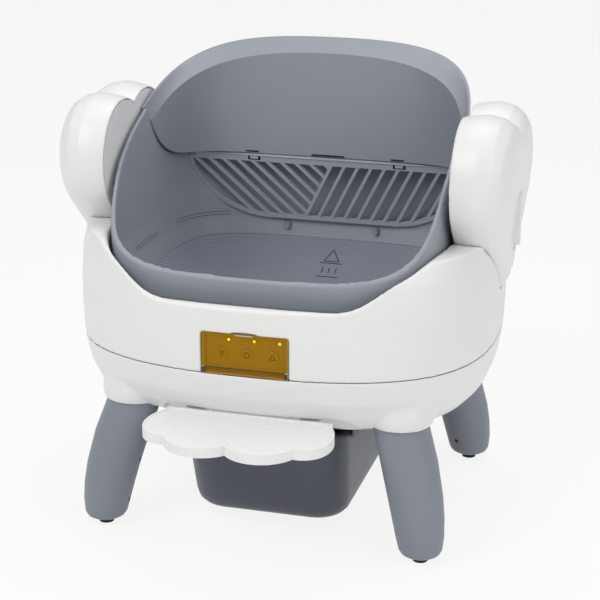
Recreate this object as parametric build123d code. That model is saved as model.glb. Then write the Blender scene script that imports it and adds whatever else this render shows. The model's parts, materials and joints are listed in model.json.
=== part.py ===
from build123d import *
import math
import os

# Open-top self-cleaning litter box: a white two-part body on four splayed legs carries a
# grey drum between two heart-shaped pods. The drum tips backwards, litter falls through the
# sieve into the chamber behind the hood, and clumps slide over the hood into the drawer.
# Millimetres. +X is the right-hand side, -Y the front, +Z up. The model is drawn with y = 0
# midway between the front and rear feet, and moved at the end so that the middle of its
# bounding box is over the origin.

# ---- Clearances and general walls ----
SEAT_GAP = 0.3          # between parts that rest against each other
RUN_GAP = 0.05          # radial, shafts and pins in their bores
SLIDE_GAP = 0.5         # runners and buttons
SHELL_WALL = 3.0
COVER_WALL = 2.5

# ---- Body shell ----
SHELL_HALF_WIDTH = 257.0
SHELL_FRONT = 216.0     # front of the body at the seam
SHELL_REAR = 238.0      # the rear bulges further, to clear the hood when it swings
SHELL_BOTTOM_Z = 150.0
SEAM_Z = 231.0
SHELL_TOP_Z = 392.0     # where the closed outer form would end, above the cut rim
FRONT_RIM_Z = 312.0     # low front edge that the pet steps over
SIDE_RIM_Z = 364.0
REAR_RIM_Z = 247.0      # low rear edge that the hood passes over
RIM_LOW_HALF = 98.0     # half width of the low front edge
RIM_RISE_HALF = 172.0   # where the wave has risen
RIM_RISE_Z = 347.0
RIM_THICK = 7.0
SHELL_PULL = (0.62, 0.80)   # fullness of the plan curve, at the sides and at the ends

# ---- Drum well inside the body ----
WELL_HALF_WIDTH = 209.0
WELL_FRONT_LOW = 193.0
WELL_FRONT_RIM = 200.0
WELL_REAR = 229.0
WELL_PULL = (0.92, 0.84)   # full enough for the drum's corners as they swing up

# ---- Drum ----
AXIS_Y = 5.0
AXIS_Z = 380.0
DRUM_HALF_WIDTH = 204.5
DRUM_FRONT = 183.0
DRUM_REAR = 190.0
DRUM_WALL = 5.0
CHAMBER_WALL = 2.4      # the drum wall where the hood's wings lie against it
DRUM_BOTTOM_Z = 236.0
DRUM_FLOOR = 3.0
LINER_EDGE_Z = 288.0
LINER_THICK = 2.0
LIP_Z = 335.0           # front lip
SEAM_RIM_Y = 22.0       # where the hood's wing meets the rim
SEAM_RIM_Z = 484.0
RIM_POINTS = [(-156.0, 356.0), (-111.0, 397.0), (-80.0, 430.0), (-40.0, 457.0)]    # rising rim, side view
SEAM_LEVEL_Y = 130.0    # where the seam has levelled out
DRUM_TILT = 90.0

# ---- Hood ----
HOOD_WALL = 2.4
HOOD_TOP_Z = 556.0
HOOD_TOP_Y = 187.0
CREASE_Z = 540.0
CREASE_Y = 155.0
CREASE_TILT = 31.0
OUTLINE_TILT = 23.6
HOOD_FOOT_Z = 380.0     # where the hood's form starts, below its cut lower edge
HOOD_LOWER_Z = 406.0
HOOD_LAP = 3.2          # the brim overlaps the bin's edge by this much
BRIM_FLARE = 5.6
CREASE_PULL = (0.72, 0.72)
HOOD_PULL = (0.90, 0.62)
REAR_TAPER = 4.0        # the bin's rear wall leans in by this much at its top

# ---- Sieve ----
SIEVE_TOP_Y = 143.0
SIEVE_TOP_Z = 404.0
SIEVE_FOOT_Y = 172.0
SIEVE_FOOT_Z = 311.0
SIEVE_HALF_WIDTH = 189.5
SIEVE_FLAT_HALF = 86.0
SIEVE_CORNER_PULL = 1.08    # squareness of the drum's rear corners beside the sieve
SIEVE_THICK = 4.0
SIEVE_RAIL = 11.0
SIEVE_FRAME = 5.5
SIEVE_BAR = 4.0
SIEVE_SHOULDER = 4.0    # straight side below the rail
SIEVE_CORNER_REACH = 52.0
BAR_REACH = 3 * SIEVE_HALF_WIDTH
SMALLEST_GAP = 6.0      # area under which a gap between bars is left filled
LEFT_BAR_PITCH = 14.7
LEFT_BAR_ANGLE = 47.5
RIGHT_BAR_PITCH = 16.0
RIGHT_BAR_ANGLE = 63.0
LEFT_BARS = 16
RIGHT_BARS = 13
LEFT_BAR_START = (-176.0, -16.0)
RIGHT_BAR_START = (22.0, -15.3)
DIVIDER_POINT = (4.3, -15.3)
SIEVE_SWING = 70.0
SIEVE_PIN_RADIUS = 2.5
SIEVE_PIN_LENGTH = 5.0
PIVOT_BOSS_RADIUS = 5.5
CLIP_X = 98.0
CLIP_WIDTH = 22.0
BUMP_RADIUS = 7.0
BUMP_LENGTH = 14.0
BUMP_X = 61.0
BUMP_Y = 177.0
BUMP_Z = 301.0

# ---- Pods ----
POD_PLATE_X = 210.0
POD_PLATE_THICK = 3.0
POD_CENTRE_Y = 5.0
POD_CENTRE_Z = 400.0
LOBE_OFFSET = 40.0
LOBE_RADIUS = 74.0
LOBE_RISE = 38.0
POD_TIP_DROP = 118.0
POD_TIP_ROUND = 14.0
POD_REACH = 276.0       # face of the pod at its centre
POD_TILT = 0.07         # the face leans, so that its top stands further out
POD_WALL = 3.0
POD_SEAT_GAP = 0.4
LOBE_END_ANGLE = 35.0
LOBE_PULL = 45.0
TIP_PULL = 35.0
TIP_NORMAL = (0.95, -0.312)
POD_SHAPE = [(0.0, 0.955), (0.22, 0.985), (0.42, 1.0), (0.66, 0.965), (0.83, 0.89), (0.94, 0.79), (1.0, 0.66)]
RECESS_RADIUS = 36.0
RECESS_FLOOR_X = 267.0
KNOB_RADIUS = 34.5
KNOB_DISC_THICK = 3.0
KNOB_FIN_TOP_X = 278.0
KNOB_FIN_WIDTH = 9.0
KNOB_STEM_RADIUS = 6.0
KNOB_STEM_LENGTH = 12.0
KNOB_TURN = 90.0

# ---- Drive ----
TRUNNION_RADIUS = 11.0
TRUNNION_FLANGE_RADIUS = 44.0
TRUNNION_FLANGE_THICK = 3.0
TRUNNION_END_X = 242.0
BUSH_WALL = 3.0
BUSH_LENGTH = 6.0
BUSH_RADIUS = TRUNNION_RADIUS + BUSH_WALL
BUSH_FLANGE = 3.0
BUSH_FLANGE_THICK = 1.5
GEAR_MODULE = 2.0
DRUM_GEAR_TEETH = 45
PINION_TEETH = 12
GEAR_WIDTH = 8.0
GEAR_X = 217.0
GEAR_BACKLASH = 0.35
PRESSURE_ANGLE = 20.0
MOTOR_RADIUS = 17.0
MOTOR_LENGTH = 26.0
PINION_SHAFT_RADIUS = 3.0
BRACKET_X = 228.0
BRACKET_THICK = 2.0
BRACKET_HALF_WIDTH = 30.0
POST_RADIUS = 3.5
POST_OFFSET = 24.0
POST_RISE = 12.0
PINION_Z = AXIS_Z + GEAR_MODULE * (DRUM_GEAR_TEETH + PINION_TEETH) / 2

# ---- Legs ----
FOOT_X = 199.0
FOOT_Y = 160.0
LEG_TOP_X = 166.0
LEG_TOP_Y = 132.0
SOCKET_MOUTH_Z = 161.0
SOCKET_DEPTH = 6.0      # how far the leg's top goes into the socket's mouth
SOCKET_WALL = 3.5
SOCKET_TOP_Z = 191.0    # the sockets end here inside the body, below the drum's path
SOCKET_FLARE = [(0, 0.5), (4, 2.5), (10, 6.5), (18, 10), (27, 11), (36, 8), (46, 0)]     # rise, extra radius
LEG_BEND = 1.6          # the leg leans more and more towards its top
LEG_FOOT_Z = 9.0
LEG_RADII = [
    (0.0, 20.0), (0.015, 23.6), (0.045, 26.2), (0.15, 29.0), (0.30, 31.4),
    (0.46, 33.0), (0.72, 34.2), (1.0, 33.5),
]
PAD_RADIUS = 9.0
PAD_THICK = 12.0
SPIGOT_RADIUS = 20.0
SPIGOT_LENGTH = 12.0
SPIGOT_TOP_Z = SOCKET_MOUTH_Z + SOCKET_DEPTH + SPIGOT_LENGTH
SCREW_RADIUS = 2.5
SCREW_HEAD_RADIUS = 4.5
SCREW_HEAD_THICK = 3.0
SCREW_LENGTH = 18.0     # depth of the screw's hole in the spigot
SCREW_SEAT_Z = SPIGOT_TOP_Z + 3.0

# ---- Waste drawer ----
DRAWER_FRONT_Y = -165.0     # front of the drawer's mouth; the front wall slopes back to its floor
DRAWER_REAR_Y = 180.0
DRAWER_FRONT_SLOPE = 28.0
DRAWER_HALF_WIDTH = 103.0
DRAWER_DRAFT = 6.0
DRAWER_BOTTOM_Z = 20.0
DRAWER_TOP_Z = 143.0
DRAWER_WALL = 2.5
DRAWER_CORNER = 42.0
DRAWER_FLOOR_ROUND = [(0, 14), (3, 7), (9, 2), (20, 0)]    # rise over the floor, how far it is drawn in
DRAWER_FLANGE = 6.0
DRAWER_FLANGE_THICK = 3.0
DRAWER_TRAVEL = 220.0
RAIL_LEDGE = 8.0
RAIL_THICK = 3.0
RAIL_FOOT = 8.0
RAIL_FRONT_Y = -138.0
RAIL_REAR_Y = 170.0
OPENING_HALF_WIDTH = 92.0   # hole in the body's floor, over the drawer
OPENING_FRONT_Y = -60.0
OPENING_REAR_Y = 165.0
OPENING_CORNER = 25.0

# ---- Step ----
STEP_TOP_Z = 177.0
STEP_THICK = 12.0
STEP_HALF_WIDTH = 100.0
STEP_LOBE_X = 113.0
STEP_REAR_Y = -196.0
STEP_CUSP_X = 76.0
STEP_CUSP_Y = -280.0
STEP_FRONT_Y = -305.5
STEP_MID_Y = -290.0
STEP_RIM = 2.5
STEP_RECESS = 1.5
TONGUE_X = 70.0
TONGUE_WIDTH = 24.0
TONGUE_LENGTH = 111.0
GUIDE_REAR_Y = -105.0
TONGUE_THICK = 6.0
STEP_TRAVEL = 60.0
ARCH_HALF_WIDTH = 118.0     # recess under the body's front edge, for the step
ARCH_REAR_Y = -150.0
ARCH_CORNER = 20.0

# ---- Control panel ----
PANEL_HALF_WIDTH = 51.5
PANEL_BOTTOM_Z = 231.0
PANEL_TOP_Z = 281.5
PANEL_CORNER = 3.0
PANEL_WALL = 2.5
PANEL_FACE_Y = -208.0       # the panel's face, behind the cover
PANEL_BACK_Y = -199.0
FLANGE_FRONT_Y = -208.8     # the panel's flange lies behind the body's front wall
FLANGE_THICK = 2.0
FLANGE_WIDTH = 3.5
COVER_FRONT_Y = -214.2
COVER_THICK = 2.0
COVER_SWING = 95.0
COVER_HINGE_Z = 235.0
COVER_BARREL_RADIUS = 2.0
COVER_HINGE_Y = COVER_FRONT_Y + COVER_BARREL_RADIUS
COVER_PIN_RADIUS = 1.2
COVER_PIN_LENGTH = 1.6
COVER_EDGE_GAP = 0.8        # the flap's ears pass this far over the cheeks as it drops
CHEEK_WIDTH = 2.8
CHEEK_TOP_Z = 239.5
THUMB_HALF_WIDTH = 13.7
THUMB_DEPTH = 4.0
BUTTON_RADIUS = 7.5
BUTTON_PITCH = 30.4
BUTTON_X = 2.0
BUTTON_Z = 255.8
BUTTON_TRAVEL = 1.5
BUTTON_PROUD = 2.0
BUTTON_FLANGE = 1.2
BUTTON_EDGE = 0.5
BOARD_THICK = 1.6
BOARD_Y = PANEL_FACE_Y + PANEL_WALL + SEAT_GAP + BUTTON_FLANGE + BUTTON_TRAVEL + SEAT_GAP
LED_RADIUS = 1.6
LED_X = 10.3
LED_Z = 272.5

# ---- Power inlet ----
INLET_RADIUS = 5.5
INLET_LENGTH = 22.0
INLET_BORE = 2.8
INLET_Z = 195.0
INLET_REAR_Y = 229.0


def plan_face(z, half_width, front, rear, pull, rear_pull=None, slope=0.0):
    """Rounded plan section whose rear is at height z: four curves with matching tangents where they meet."""
    side_f, end_f = pull
    side_r, end_r = rear_pull or pull
    w = half_width

    def at(x, y):
        return (x, y, z + slope * (y - rear))

    curves = [
        Bezier(at(w, 0), at(w, -front * side_f), at(w * end_f, -front), at(0, -front)),
        Bezier(at(0, -front), at(-w * end_f, -front), at(-w, -front * side_f), at(-w, 0)),
        Bezier(at(-w, 0), at(-w, rear * side_r), at(-w * end_r, rear), at(0, rear)),
        Bezier(at(0, rear), at(w * end_r, rear), at(w, rear * side_r), at(w, 0)),
    ]
    return Face(Wire(curves))


def plan_loft(sections, grow=0.0):
    """Solid through plan sections (z, half width, front, rear, pulls), each grown outwards."""
    faces = [plan_face(z, w + grow, f + grow, r + grow, *pulls) for z, w, f, r, *pulls in sections]
    return loft(faces, ruled=True)


def box_between(low, high):
    """Box from its lowest corner to its highest corner."""
    size = [b - a for a, b in zip(low, high)]
    return Pos(*low) * Box(*size, align=(Align.MIN, Align.MIN, Align.MIN))


def side_prism(outline, x_from, x_to):
    """Solid of a closed side view (edges in y and z) between two values of x."""
    face = Pos(x_from, 0, 0) * (Plane.YZ * make_face(outline))
    return extrude(face, x_to - x_from, dir=(1, 0, 0))


def front_prism(outline, y_from, y_to):
    """Solid of a closed front view (edges in x and z) between two values of y."""
    face = Pos(0, y_from, 0) * (Plane.XZ * make_face(outline))
    return extrude(face, y_to - y_from, dir=(0, 1, 0))


def rod(x, y, z, radius, length, axis="z"):
    """Round bar that starts at the point and runs along +X, +Y or +Z."""
    turn = {"x": Rot(0, 90, 0), "y": Rot(-90, 0, 0), "z": Rot(0, 0, 0)}[axis]
    return Pos(x, y, z) * turn * Cylinder(radius, length, align=(Align.CENTER, Align.CENTER, Align.MIN))


def both_sides(shape):
    """The shape and its mirror image in the plane x = 0, as a list."""
    return [shape, mirror(shape, about=Plane.YZ)]


# ---- Body shell ----

def body_sections():
    """Plan sections of the outer body, from its flat underside to above its rim."""
    below = SEAM_Z - SHELL_BOTTOM_Z
    above = SHELL_TOP_Z - SEAM_Z
    # height share below or above the seam, then how far each side lies inside the seam's plan
    shares = [
        (-1.00, 49, 58, 60), (-0.88, 29, 40, 42), (-0.67, 14, 21, 21), (-0.38, 5, 8, 8), (0.0, 0, 0, 0),
        (0.24, -1.5, 0.0, -1), (0.46, -1.5, 1.0, 1), (0.68, 0.5, 8, 8), (0.86, 6, 20, 20), (1.0, 18, 38, 38),
    ]
    sections = []
    for share, side, front, rear in shares:
        z = SEAM_Z + share * (below if share < 0 else above)
        sections.append((z, SHELL_HALF_WIDTH - side, SHELL_FRONT - front, SHELL_REAR - rear, SHELL_PULL))
    return sections


def well_sections():
    """Plan sections of the well that the drum turns in."""
    heights = [
        (SEAM_Z - 2, WELL_FRONT_LOW), (PANEL_TOP_Z, WELL_FRONT_LOW + 1),
        (FRONT_RIM_Z, WELL_FRONT_RIM), (SHELL_TOP_Z + 4, WELL_FRONT_RIM + 4),
    ]
    return [(z, WELL_HALF_WIDTH, front, WELL_REAR, WELL_PULL) for z, front in heights]


def rim_cut(lower=0.0):
    """Everything above the body's rim: a wave at the front, a falling curve towards the rear."""
    low = FRONT_RIM_Z - lower
    rise = RIM_RISE_Z - lower
    side = SIDE_RIM_Z - lower
    rear = REAR_RIM_Z - lower
    far = SHELL_HALF_WIDTH + 60
    top = SHELL_TOP_Z + 60
    slope = 0.43
    flat_x = WELL_HALF_WIDTH - 3
    wave = [
        Line((0, low), (RIM_LOW_HALF, low)),
        Bezier((RIM_LOW_HALF, low), (RIM_LOW_HALF + 36, low),
               (RIM_RISE_HALF - 24, rise - 24 * slope), (RIM_RISE_HALF, rise)),
        Bezier((RIM_RISE_HALF, rise), (RIM_RISE_HALF + 18, rise + 18 * slope),
               (flat_x - 12, side), (flat_x, side)),
        Line((flat_x, side), (far, side)),
        Line((far, side), (far, top)),
        Line((far, top), (0, top)),
        Line((0, top), (0, low)),
    ]
    half = front_prism(wave, -far, 0)
    fall = [
        Line((0, side), (45, side)),
        Bezier((45, side), (85, side), (80, rear), (125, rear)),
        Line((125, rear), (far, rear)),
        Line((far, rear), (far, top)),
        Line((far, top), (0, top)),
        Line((0, top), (0, side)),
    ]
    return half + mirror(half, about=Plane.YZ) + side_prism(fall, -far, far)


def round_top(block):
    """Rounds the two upper corners of a block that is seen from the front."""
    top = block.bounding_box().max.Z
    return fillet([e for e in block.edges().filter_by(Axis.Y) if e.center().Z > top - 1], PANEL_CORNER)


def panel_opening():
    """Block that fills the panel's opening in the front wall, with the thumb scoop over it."""
    back = -WELL_FRONT_LOW - SHELL_WALL
    low = (-PANEL_HALF_WIDTH, -SHELL_FRONT - 20, PANEL_BOTTOM_Z - 2)
    block = box_between(low, (PANEL_HALF_WIDTH, back, PANEL_TOP_Z))
    block = round_top(block)
    scoop_radius = (THUMB_HALF_WIDTH ** 2 + THUMB_DEPTH ** 2) / (2 * THUMB_DEPTH)
    scoop_z = PANEL_TOP_Z + THUMB_DEPTH - scoop_radius
    scoop = rod(0, -SHELL_FRONT - 20, scoop_z, scoop_radius, 20 + SHELL_FRONT + COVER_FRONT_Y + 1, "y")
    scoop &= box_between((-40, -SHELL_FRONT - 20, PANEL_TOP_Z - 1), (40, back, PANEL_TOP_Z + THUMB_DEPTH + 1))
    return block + scoop


def make_upper_shell():
    """Double-walled upper body, open below, with the scooped rim, panel opening and pod seats."""
    far = SHELL_HALF_WIDTH + 60
    above_seam = box_between((-far, -far, SEAM_Z), (far, far, SHELL_TOP_Z + 10))
    shell = (plan_loft(body_sections()) & above_seam) - plan_loft(well_sections()) - rim_cut()
    hollow = plan_loft(body_sections(), -SHELL_WALL) & above_seam
    hollow -= plan_loft(well_sections(), SHELL_WALL)
    hollow -= rim_cut(RIM_THICK)
    shell -= hollow
    shell -= panel_opening()
    seat = pod_form(POD_SEAT_GAP) + heart_prism(POD_PLATE_X - 12, POD_PLATE_X + 1, POD_SEAT_GAP)
    for side_seat in both_sides(seat):
        shell -= side_seat
    return shell


# ---- Legs and lower body ----

CORNERS = {"front_left": (-1, -1), "front_right": (1, -1), "rear_left": (-1, 1), "rear_right": (1, 1)}


def leg_axis_point(sign_x, sign_y, z):
    """Point of the leg's curved centre line at height z; above the socket's mouth it runs straight on."""
    share = (z - LEG_FOOT_Z) / (SOCKET_MOUTH_Z - LEG_FOOT_Z)
    lean = share ** LEG_BEND if share < 1 else 1 + LEG_BEND * (share - 1)
    x = FOOT_X + lean * (LEG_TOP_X - FOOT_X)
    y = FOOT_Y + lean * (LEG_TOP_Y - FOOT_Y)
    return sign_x * x, sign_y * y


def ring_loft(sign_x, sign_y, rings):
    """Loft of level circles, given as (z, radius), along a leg's centre line."""
    circles = [Pos(*leg_axis_point(sign_x, sign_y, z), z) * Circle(radius) for z, radius in rings]
    return loft(circles, ruled=True)


def leg_form(sign_x, sign_y, grow=0.0):
    """Tapered, slightly bent body of a leg, from its foot to the socket's mouth."""
    height = SOCKET_MOUTH_Z - LEG_FOOT_Z
    rings = [(LEG_FOOT_Z + share * height, radius + grow) for share, radius in LEG_RADII]
    return ring_loft(sign_x, sign_y, rings)


def make_leg(sign_x, sign_y):
    """Leg with a rounded foot, a spigot on top, a screw hole and a seat for its pad."""
    leg = leg_form(sign_x, sign_y)
    x, y = LEG_TOP_X * sign_x, LEG_TOP_Y * sign_y
    leg += rod(x, y, SOCKET_MOUTH_Z, LEG_RADII[-1][1], SOCKET_DEPTH)
    leg += rod(x, y, SOCKET_MOUTH_Z, SPIGOT_RADIUS, SOCKET_DEPTH + SPIGOT_LENGTH)
    leg -= rod(x, y, SPIGOT_TOP_Z - SCREW_LENGTH, SCREW_RADIUS + SEAT_GAP, SCREW_LENGTH + 1)
    leg -= rod(FOOT_X * sign_x, FOOT_Y * sign_y, 0, PAD_RADIUS + SEAT_GAP, PAD_THICK)
    return leg


def make_foot_pads():
    """Four rubber pads set into the legs' undersides."""
    return [rod(FOOT_X * sx, FOOT_Y * sy, 0, PAD_RADIUS, PAD_THICK) for sx, sy in CORNERS.values()]


def make_leg_screws():
    """Four screws that hold the legs' spigots, put in from inside the body."""
    screws = []
    for sx, sy in CORNERS.values():
        x, y = LEG_TOP_X * sx, LEG_TOP_Y * sy
        tip_z = SPIGOT_TOP_Z - SCREW_LENGTH + 1
        shank = rod(x, y, tip_z, SCREW_RADIUS, SCREW_SEAT_Z - tip_z)
        screws.append(shank + rod(x, y, SCREW_SEAT_Z, SCREW_HEAD_RADIUS, SCREW_HEAD_THICK))
    return screws


def tongue_slots(grow):
    """The two slots for the step's tongues, or their guides when grown."""
    slots = []
    for side in (-1, 1):
        half = TONGUE_WIDTH / 2 + grow
        z = STEP_TOP_Z - STEP_THICK / 2
        low = (side * TONGUE_X - half, ARCH_REAR_Y - 1, z - TONGUE_THICK / 2 - grow)
        high = (side * TONGUE_X + half, GUIDE_REAR_Y, z + TONGUE_THICK / 2 + grow)
        slots.append(box_between(low, high))
    return slots


def arch(grow):
    """Recess under the body's front edge, or its walls when grown."""
    half = ARCH_HALF_WIDTH + grow
    bottom = SHELL_BOTTOM_Z - ARCH_CORNER - 5
    top = STEP_TOP_Z + SEAT_GAP + grow
    block = box_between((-half, -SHELL_FRONT, bottom), (half, ARCH_REAR_Y + grow, top))
    corners = [e for e in block.edges().filter_by(Axis.Y) if e.center().Z > STEP_TOP_Z - 1]
    return fillet(corners, ARCH_CORNER)


def make_lower_shell():
    """Bowl-shaped lower body: flat floor with the waste opening, leg sockets and the step's recess."""
    far = SHELL_HALF_WIDTH + 60
    outer = plan_loft(body_sections()) & box_between((-far, -far, SHELL_BOTTOM_Z), (far, far, SEAM_Z))
    floor_z = SHELL_BOTTOM_Z + SHELL_WALL
    inside = plan_loft(body_sections(), -SHELL_WALL)
    inside &= box_between((-far, -far, floor_z), (far, far, SEAM_Z + 1))
    shell = outer - inside
    shell += arch(SHELL_WALL) & outer
    for guide in tongue_slots(SLIDE_GAP + SHELL_WALL):
        shell += guide & outer
    rings = [(SOCKET_MOUTH_Z + rise, LEG_RADII[-1][1] + SOCKET_WALL + flare) for rise, flare in SOCKET_FLARE]
    upper_inside = inside & box_between((-far, -far, SOCKET_TOP_Z), (far, far, SEAM_Z + 1))
    for sx, sy in CORNERS.values():
        shell += ring_loft(sx, sy, rings) - upper_inside
    shell -= arch(0)
    for slot in tongue_slots(SLIDE_GAP):
        shell -= slot
    for sx, sy in CORNERS.values():
        x, y = LEG_TOP_X * sx, LEG_TOP_Y * sy
        shell -= leg_form(sx, sy, SEAT_GAP)
        shell -= rod(x, y, SOCKET_MOUTH_Z - SEAT_GAP, LEG_RADII[-1][1] + SEAT_GAP, SOCKET_DEPTH + SEAT_GAP)
        shell -= rod(x, y, SOCKET_MOUTH_Z, SPIGOT_RADIUS + SEAT_GAP, SPIGOT_TOP_Z - SOCKET_MOUTH_Z)
        shell -= rod(x, y, SOCKET_MOUTH_Z, SCREW_RADIUS + SEAT_GAP, SCREW_SEAT_Z - SOCKET_MOUTH_Z + 1)
        shell -= rod(x, y, SCREW_SEAT_Z, SCREW_HEAD_RADIUS + 2, 30)
    width = 2 * OPENING_HALF_WIDTH
    length = OPENING_REAR_Y - OPENING_FRONT_Y
    hole = Pos(0, OPENING_FRONT_Y + length / 2, SHELL_BOTTOM_Z - 1)
    hole *= RectangleRounded(width, length, OPENING_CORNER)
    shell -= extrude(hole, SHELL_WALL + 2)
    shell -= rod(0, INLET_REAR_Y - INLET_LENGTH, INLET_Z, INLET_RADIUS + RUN_GAP, INLET_LENGTH + 20, "y")
    return shell


def make_power_inlet():
    """Round low-voltage socket in the rear wall, with a flange inside."""
    inlet = rod(0, INLET_REAR_Y - INLET_LENGTH, INLET_Z, INLET_RADIUS, INLET_LENGTH, "y")
    inlet += rod(0, INLET_REAR_Y - INLET_LENGTH, INLET_Z, INLET_RADIUS + 3, INLET_LENGTH - 11, "y")
    inlet -= rod(0, INLET_REAR_Y - INLET_LENGTH / 2, INLET_Z, INLET_BORE, INLET_LENGTH, "y")
    inlet += rod(0, INLET_REAR_Y - INLET_LENGTH / 2, INLET_Z, 1, INLET_LENGTH / 2 - 1, "y")
    return inlet


# ---- Waste drawer and its rails ----

def drawer_form(inset, bottom_z, top_z):
    """Tapered tub: rounded plan, sloping front, and an edge round its floor that turns in over rings."""
    full = DRAWER_TOP_Z - DRAWER_BOTTOM_Z
    rings = [(bottom_z + rise, inset + drawn_in) for rise, drawn_in in DRAWER_FLOOR_ROUND]
    faces = []
    for z, inside in rings + [(top_z, inset)]:
        share = (DRAWER_TOP_Z - z) / full
        half = DRAWER_HALF_WIDTH - share * DRAWER_DRAFT - inside
        front = DRAWER_FRONT_Y + share * DRAWER_FRONT_SLOPE + inside
        rear = DRAWER_REAR_Y - share * DRAWER_DRAFT - inside
        corner = DRAWER_CORNER - inside
        faces.append(Pos(0, (front + rear) / 2, z) * RectangleRounded(2 * half, rear - front, corner))
    return loft(faces, ruled=True)


def make_waste_drawer():
    """Open tub that hangs by its flange on the two rails."""
    tub = drawer_form(0, DRAWER_BOTTOM_Z, DRAWER_TOP_Z)
    length = DRAWER_REAR_Y - DRAWER_FRONT_Y + 2 * DRAWER_FLANGE
    middle = (DRAWER_REAR_Y + DRAWER_FRONT_Y) / 2
    width = 2 * (DRAWER_HALF_WIDTH + DRAWER_FLANGE)
    flange = Pos(0, middle, DRAWER_TOP_Z - DRAWER_FLANGE_THICK)
    flange *= RectangleRounded(width, length, DRAWER_CORNER + DRAWER_FLANGE)
    tub += extrude(flange, DRAWER_FLANGE_THICK)
    floor_z = DRAWER_BOTTOM_Z + DRAWER_WALL
    return tub - drawer_form(DRAWER_WALL, floor_z, DRAWER_TOP_Z + 2)


def make_drawer_rail(side):
    """Channel under the body's floor: the drawer's flange slides on its ledge, up to the stop at the rear."""
    web_x = DRAWER_HALF_WIDTH + DRAWER_FLANGE + SLIDE_GAP
    ledge_x = web_x - RAIL_LEDGE + RAIL_THICK
    ledge_z = DRAWER_TOP_Z - DRAWER_FLANGE_THICK - SLIDE_GAP
    low_z = ledge_z - RAIL_THICK
    rail = box_between((web_x, RAIL_FRONT_Y, low_z), (web_x + RAIL_THICK, RAIL_REAR_Y, SHELL_BOTTOM_Z))
    rail += box_between((ledge_x, RAIL_FRONT_Y, low_z), (web_x + RAIL_THICK, RAIL_REAR_Y, ledge_z))
    foot_z = SHELL_BOTTOM_Z - RAIL_THICK
    rail += box_between((web_x, RAIL_FRONT_Y, foot_z), (web_x + RAIL_FOOT, RAIL_REAR_Y, SHELL_BOTTOM_Z))
    return rail if side > 0 else mirror(rail, about=Plane.YZ)


# ---- Step ----

def step_outline(inset=0.0):
    """Cloud outline of the step, drawn in by an inset: two side lobes and two front lobes."""
    rear_y = STEP_REAR_Y - inset
    side_y = STEP_REAR_Y - 12
    side_x = STEP_HALF_WIDTH + 3 - inset
    cusp = (STEP_CUSP_X - inset / 2, STEP_CUSP_Y + 1.5 * inset)
    front_y = STEP_FRONT_Y + inset
    right = [
        Line((0, rear_y), (STEP_HALF_WIDTH - inset, rear_y)),
        Line((STEP_HALF_WIDTH - inset, rear_y), (side_x, side_y)),
        Bezier((side_x, side_y), (STEP_LOBE_X + 8 - inset, side_y - 30),
               (STEP_LOBE_X - 1 - inset, STEP_CUSP_Y - 4 + inset), cusp),
        ThreePointArc(cusp, (STEP_CUSP_X / 2, front_y), (0, STEP_MID_Y + 1.5 * inset)),
    ]
    return make_face(right + [mirror(edge, about=Plane.YZ) for edge in right])


def make_step_tray():
    """Cloud-shaped step with a low rim and two flat tongues that go into the body's guides."""
    step = extrude(Pos(0, 0, STEP_TOP_Z - STEP_THICK) * step_outline(), STEP_THICK)
    step -= extrude(Pos(0, 0, STEP_TOP_Z - STEP_RECESS) * step_outline(STEP_RIM), STEP_RECESS + 1)
    z = STEP_TOP_Z - STEP_THICK / 2
    for side in (-1, 1):
        x = side * TONGUE_X
        low = (x - TONGUE_WIDTH / 2, STEP_REAR_Y - 4, z - TONGUE_THICK / 2)
        step += box_between(low, (x + TONGUE_WIDTH / 2, STEP_REAR_Y + TONGUE_LENGTH, z + TONGUE_THICK / 2))
    return step


# ---- Control panel ----

BUTTON_CENTRES = {
    "connect_button": BUTTON_X - BUTTON_PITCH,
    "clean_button": BUTTON_X,
    "level_button": BUTTON_X + BUTTON_PITCH,
}


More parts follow.
